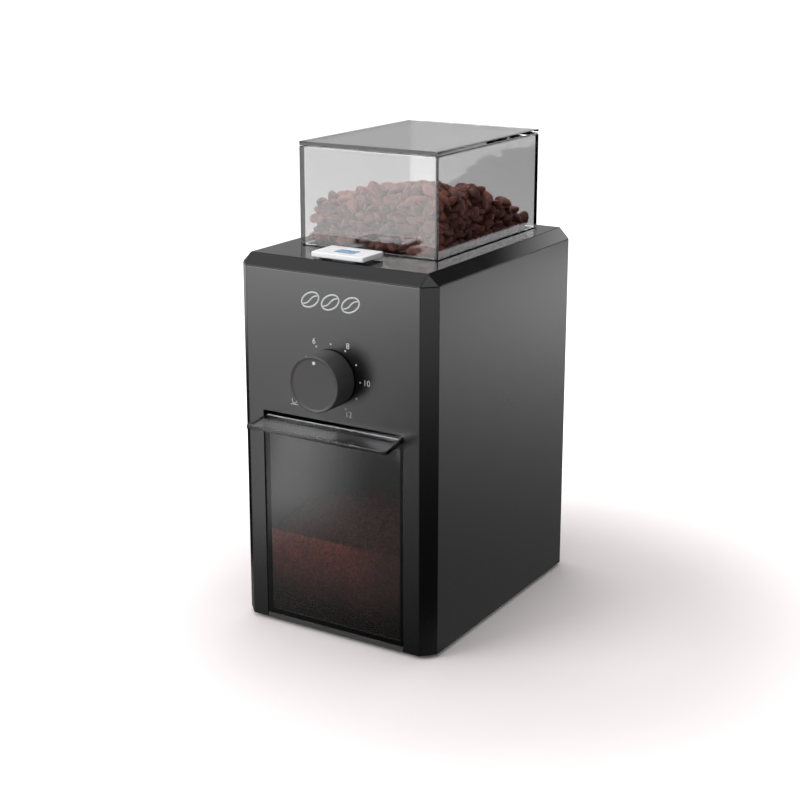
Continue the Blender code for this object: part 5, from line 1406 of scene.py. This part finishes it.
# ---- operators and panel -------------------------------------------------------------------------------
class GRINDER_OT_shells(bpy.types.Operator):
    """Build the housing, the deck and the base"""

    bl_idname = "grinder.shells"
    bl_label = "Shells"

    def execute(self, context):
        build_housing()
        build_deck()
        build_base()
        return {"FINISHED"}


class GRINDER_OT_clear_parts(bpy.types.Operator):
    """Build the hopper, its lid and the container"""

    bl_idname = "grinder.clear_parts"
    bl_label = "Clear Parts"

    def execute(self, context):
        build_hopper()
        build_lid()
        build_container()
        return {"FINISHED"}


class GRINDER_OT_controls(bpy.types.Operator):
    """Build the knob, its scale, the button and the lever"""

    bl_idname = "grinder.controls"
    bl_label = "Controls"

    def execute(self, context):
        build_knob()
        build_print()
        build_button()
        build_lever()
        return {"FINISHED"}


class GRINDER_OT_coffee(bpy.types.Operator):
    """Fill the hopper with beans and the container with ground coffee"""

    bl_idname = "grinder.coffee"
    bl_label = "Coffee"

    def execute(self, context):
        build_beans()
        build_ground_coffee()
        return {"FINISHED"}


class GRINDER_OT_mechanism(bpy.types.Operator):
    """Finish the burrs, gears, motor and timer"""

    bl_idname = "grinder.mechanism"
    bl_label = "Mechanism"

    def execute(self, context):
        build_mechanism()
        return {"FINISHED"}


class GRINDER_OT_stage(bpy.types.Operator):
    """Set up the floor, lamps and camera"""

    bl_idname = "grinder.stage"
    bl_label = "Stage"

    def execute(self, context):
        build_stage()
        return {"FINISHED"}


OPERATORS = (
    GRINDER_OT_shells,
    GRINDER_OT_clear_parts,
    GRINDER_OT_controls,
    GRINDER_OT_coffee,
    GRINDER_OT_mechanism,
    GRINDER_OT_stage,
)
GROUPS = {
    "shell": GrinderShellSettings,
    "clear": GrinderClearSettings,
    "control": GrinderControlSettings,
    "coffee": GrinderCoffeeSettings,
}


class GRINDER_PT_panel(bpy.types.Panel):
    """The grinder's sizes, colours and building steps"""

    bl_idname = "GRINDER_PT_panel"
    bl_label = "Coffee Grinder"
    bl_space_type = "VIEW_3D"
    bl_region_type = "UI"
    bl_category = "Grinder"

    def draw(self, context):
        for name, group in GROUPS.items():
            part = getattr(context.scene, "grinder_" + name)
            for field in group.__annotations__:
                self.layout.prop(part, field)
        for operator in OPERATORS:
            self.layout.operator(operator.bl_idname)


def register():
    for group in GROUPS.values():
        bpy.utils.register_class(group)
    for name, group in GROUPS.items():
        setattr(bpy.types.Scene, "grinder_" + name, bpy.props.PointerProperty(type=group))
    for item in (*OPERATORS, GRINDER_PT_panel):
        bpy.utils.register_class(item)


def unregister():
    for item in reversed((*OPERATORS, GRINDER_PT_panel)):
        bpy.utils.unregister_class(item)
    for name, group in GROUPS.items():
        delattr(bpy.types.Scene, "grinder_" + name)
        bpy.utils.unregister_class(group)


def main():
    """Builds every group in order."""
    register()
    bpy.ops.grinder.shells()
    bpy.ops.grinder.clear_parts()
    bpy.ops.grinder.controls()
    bpy.ops.grinder.coffee()
    bpy.ops.grinder.mechanism()
    bpy.ops.grinder.stage()


if __name__ == "__main__":
    main()
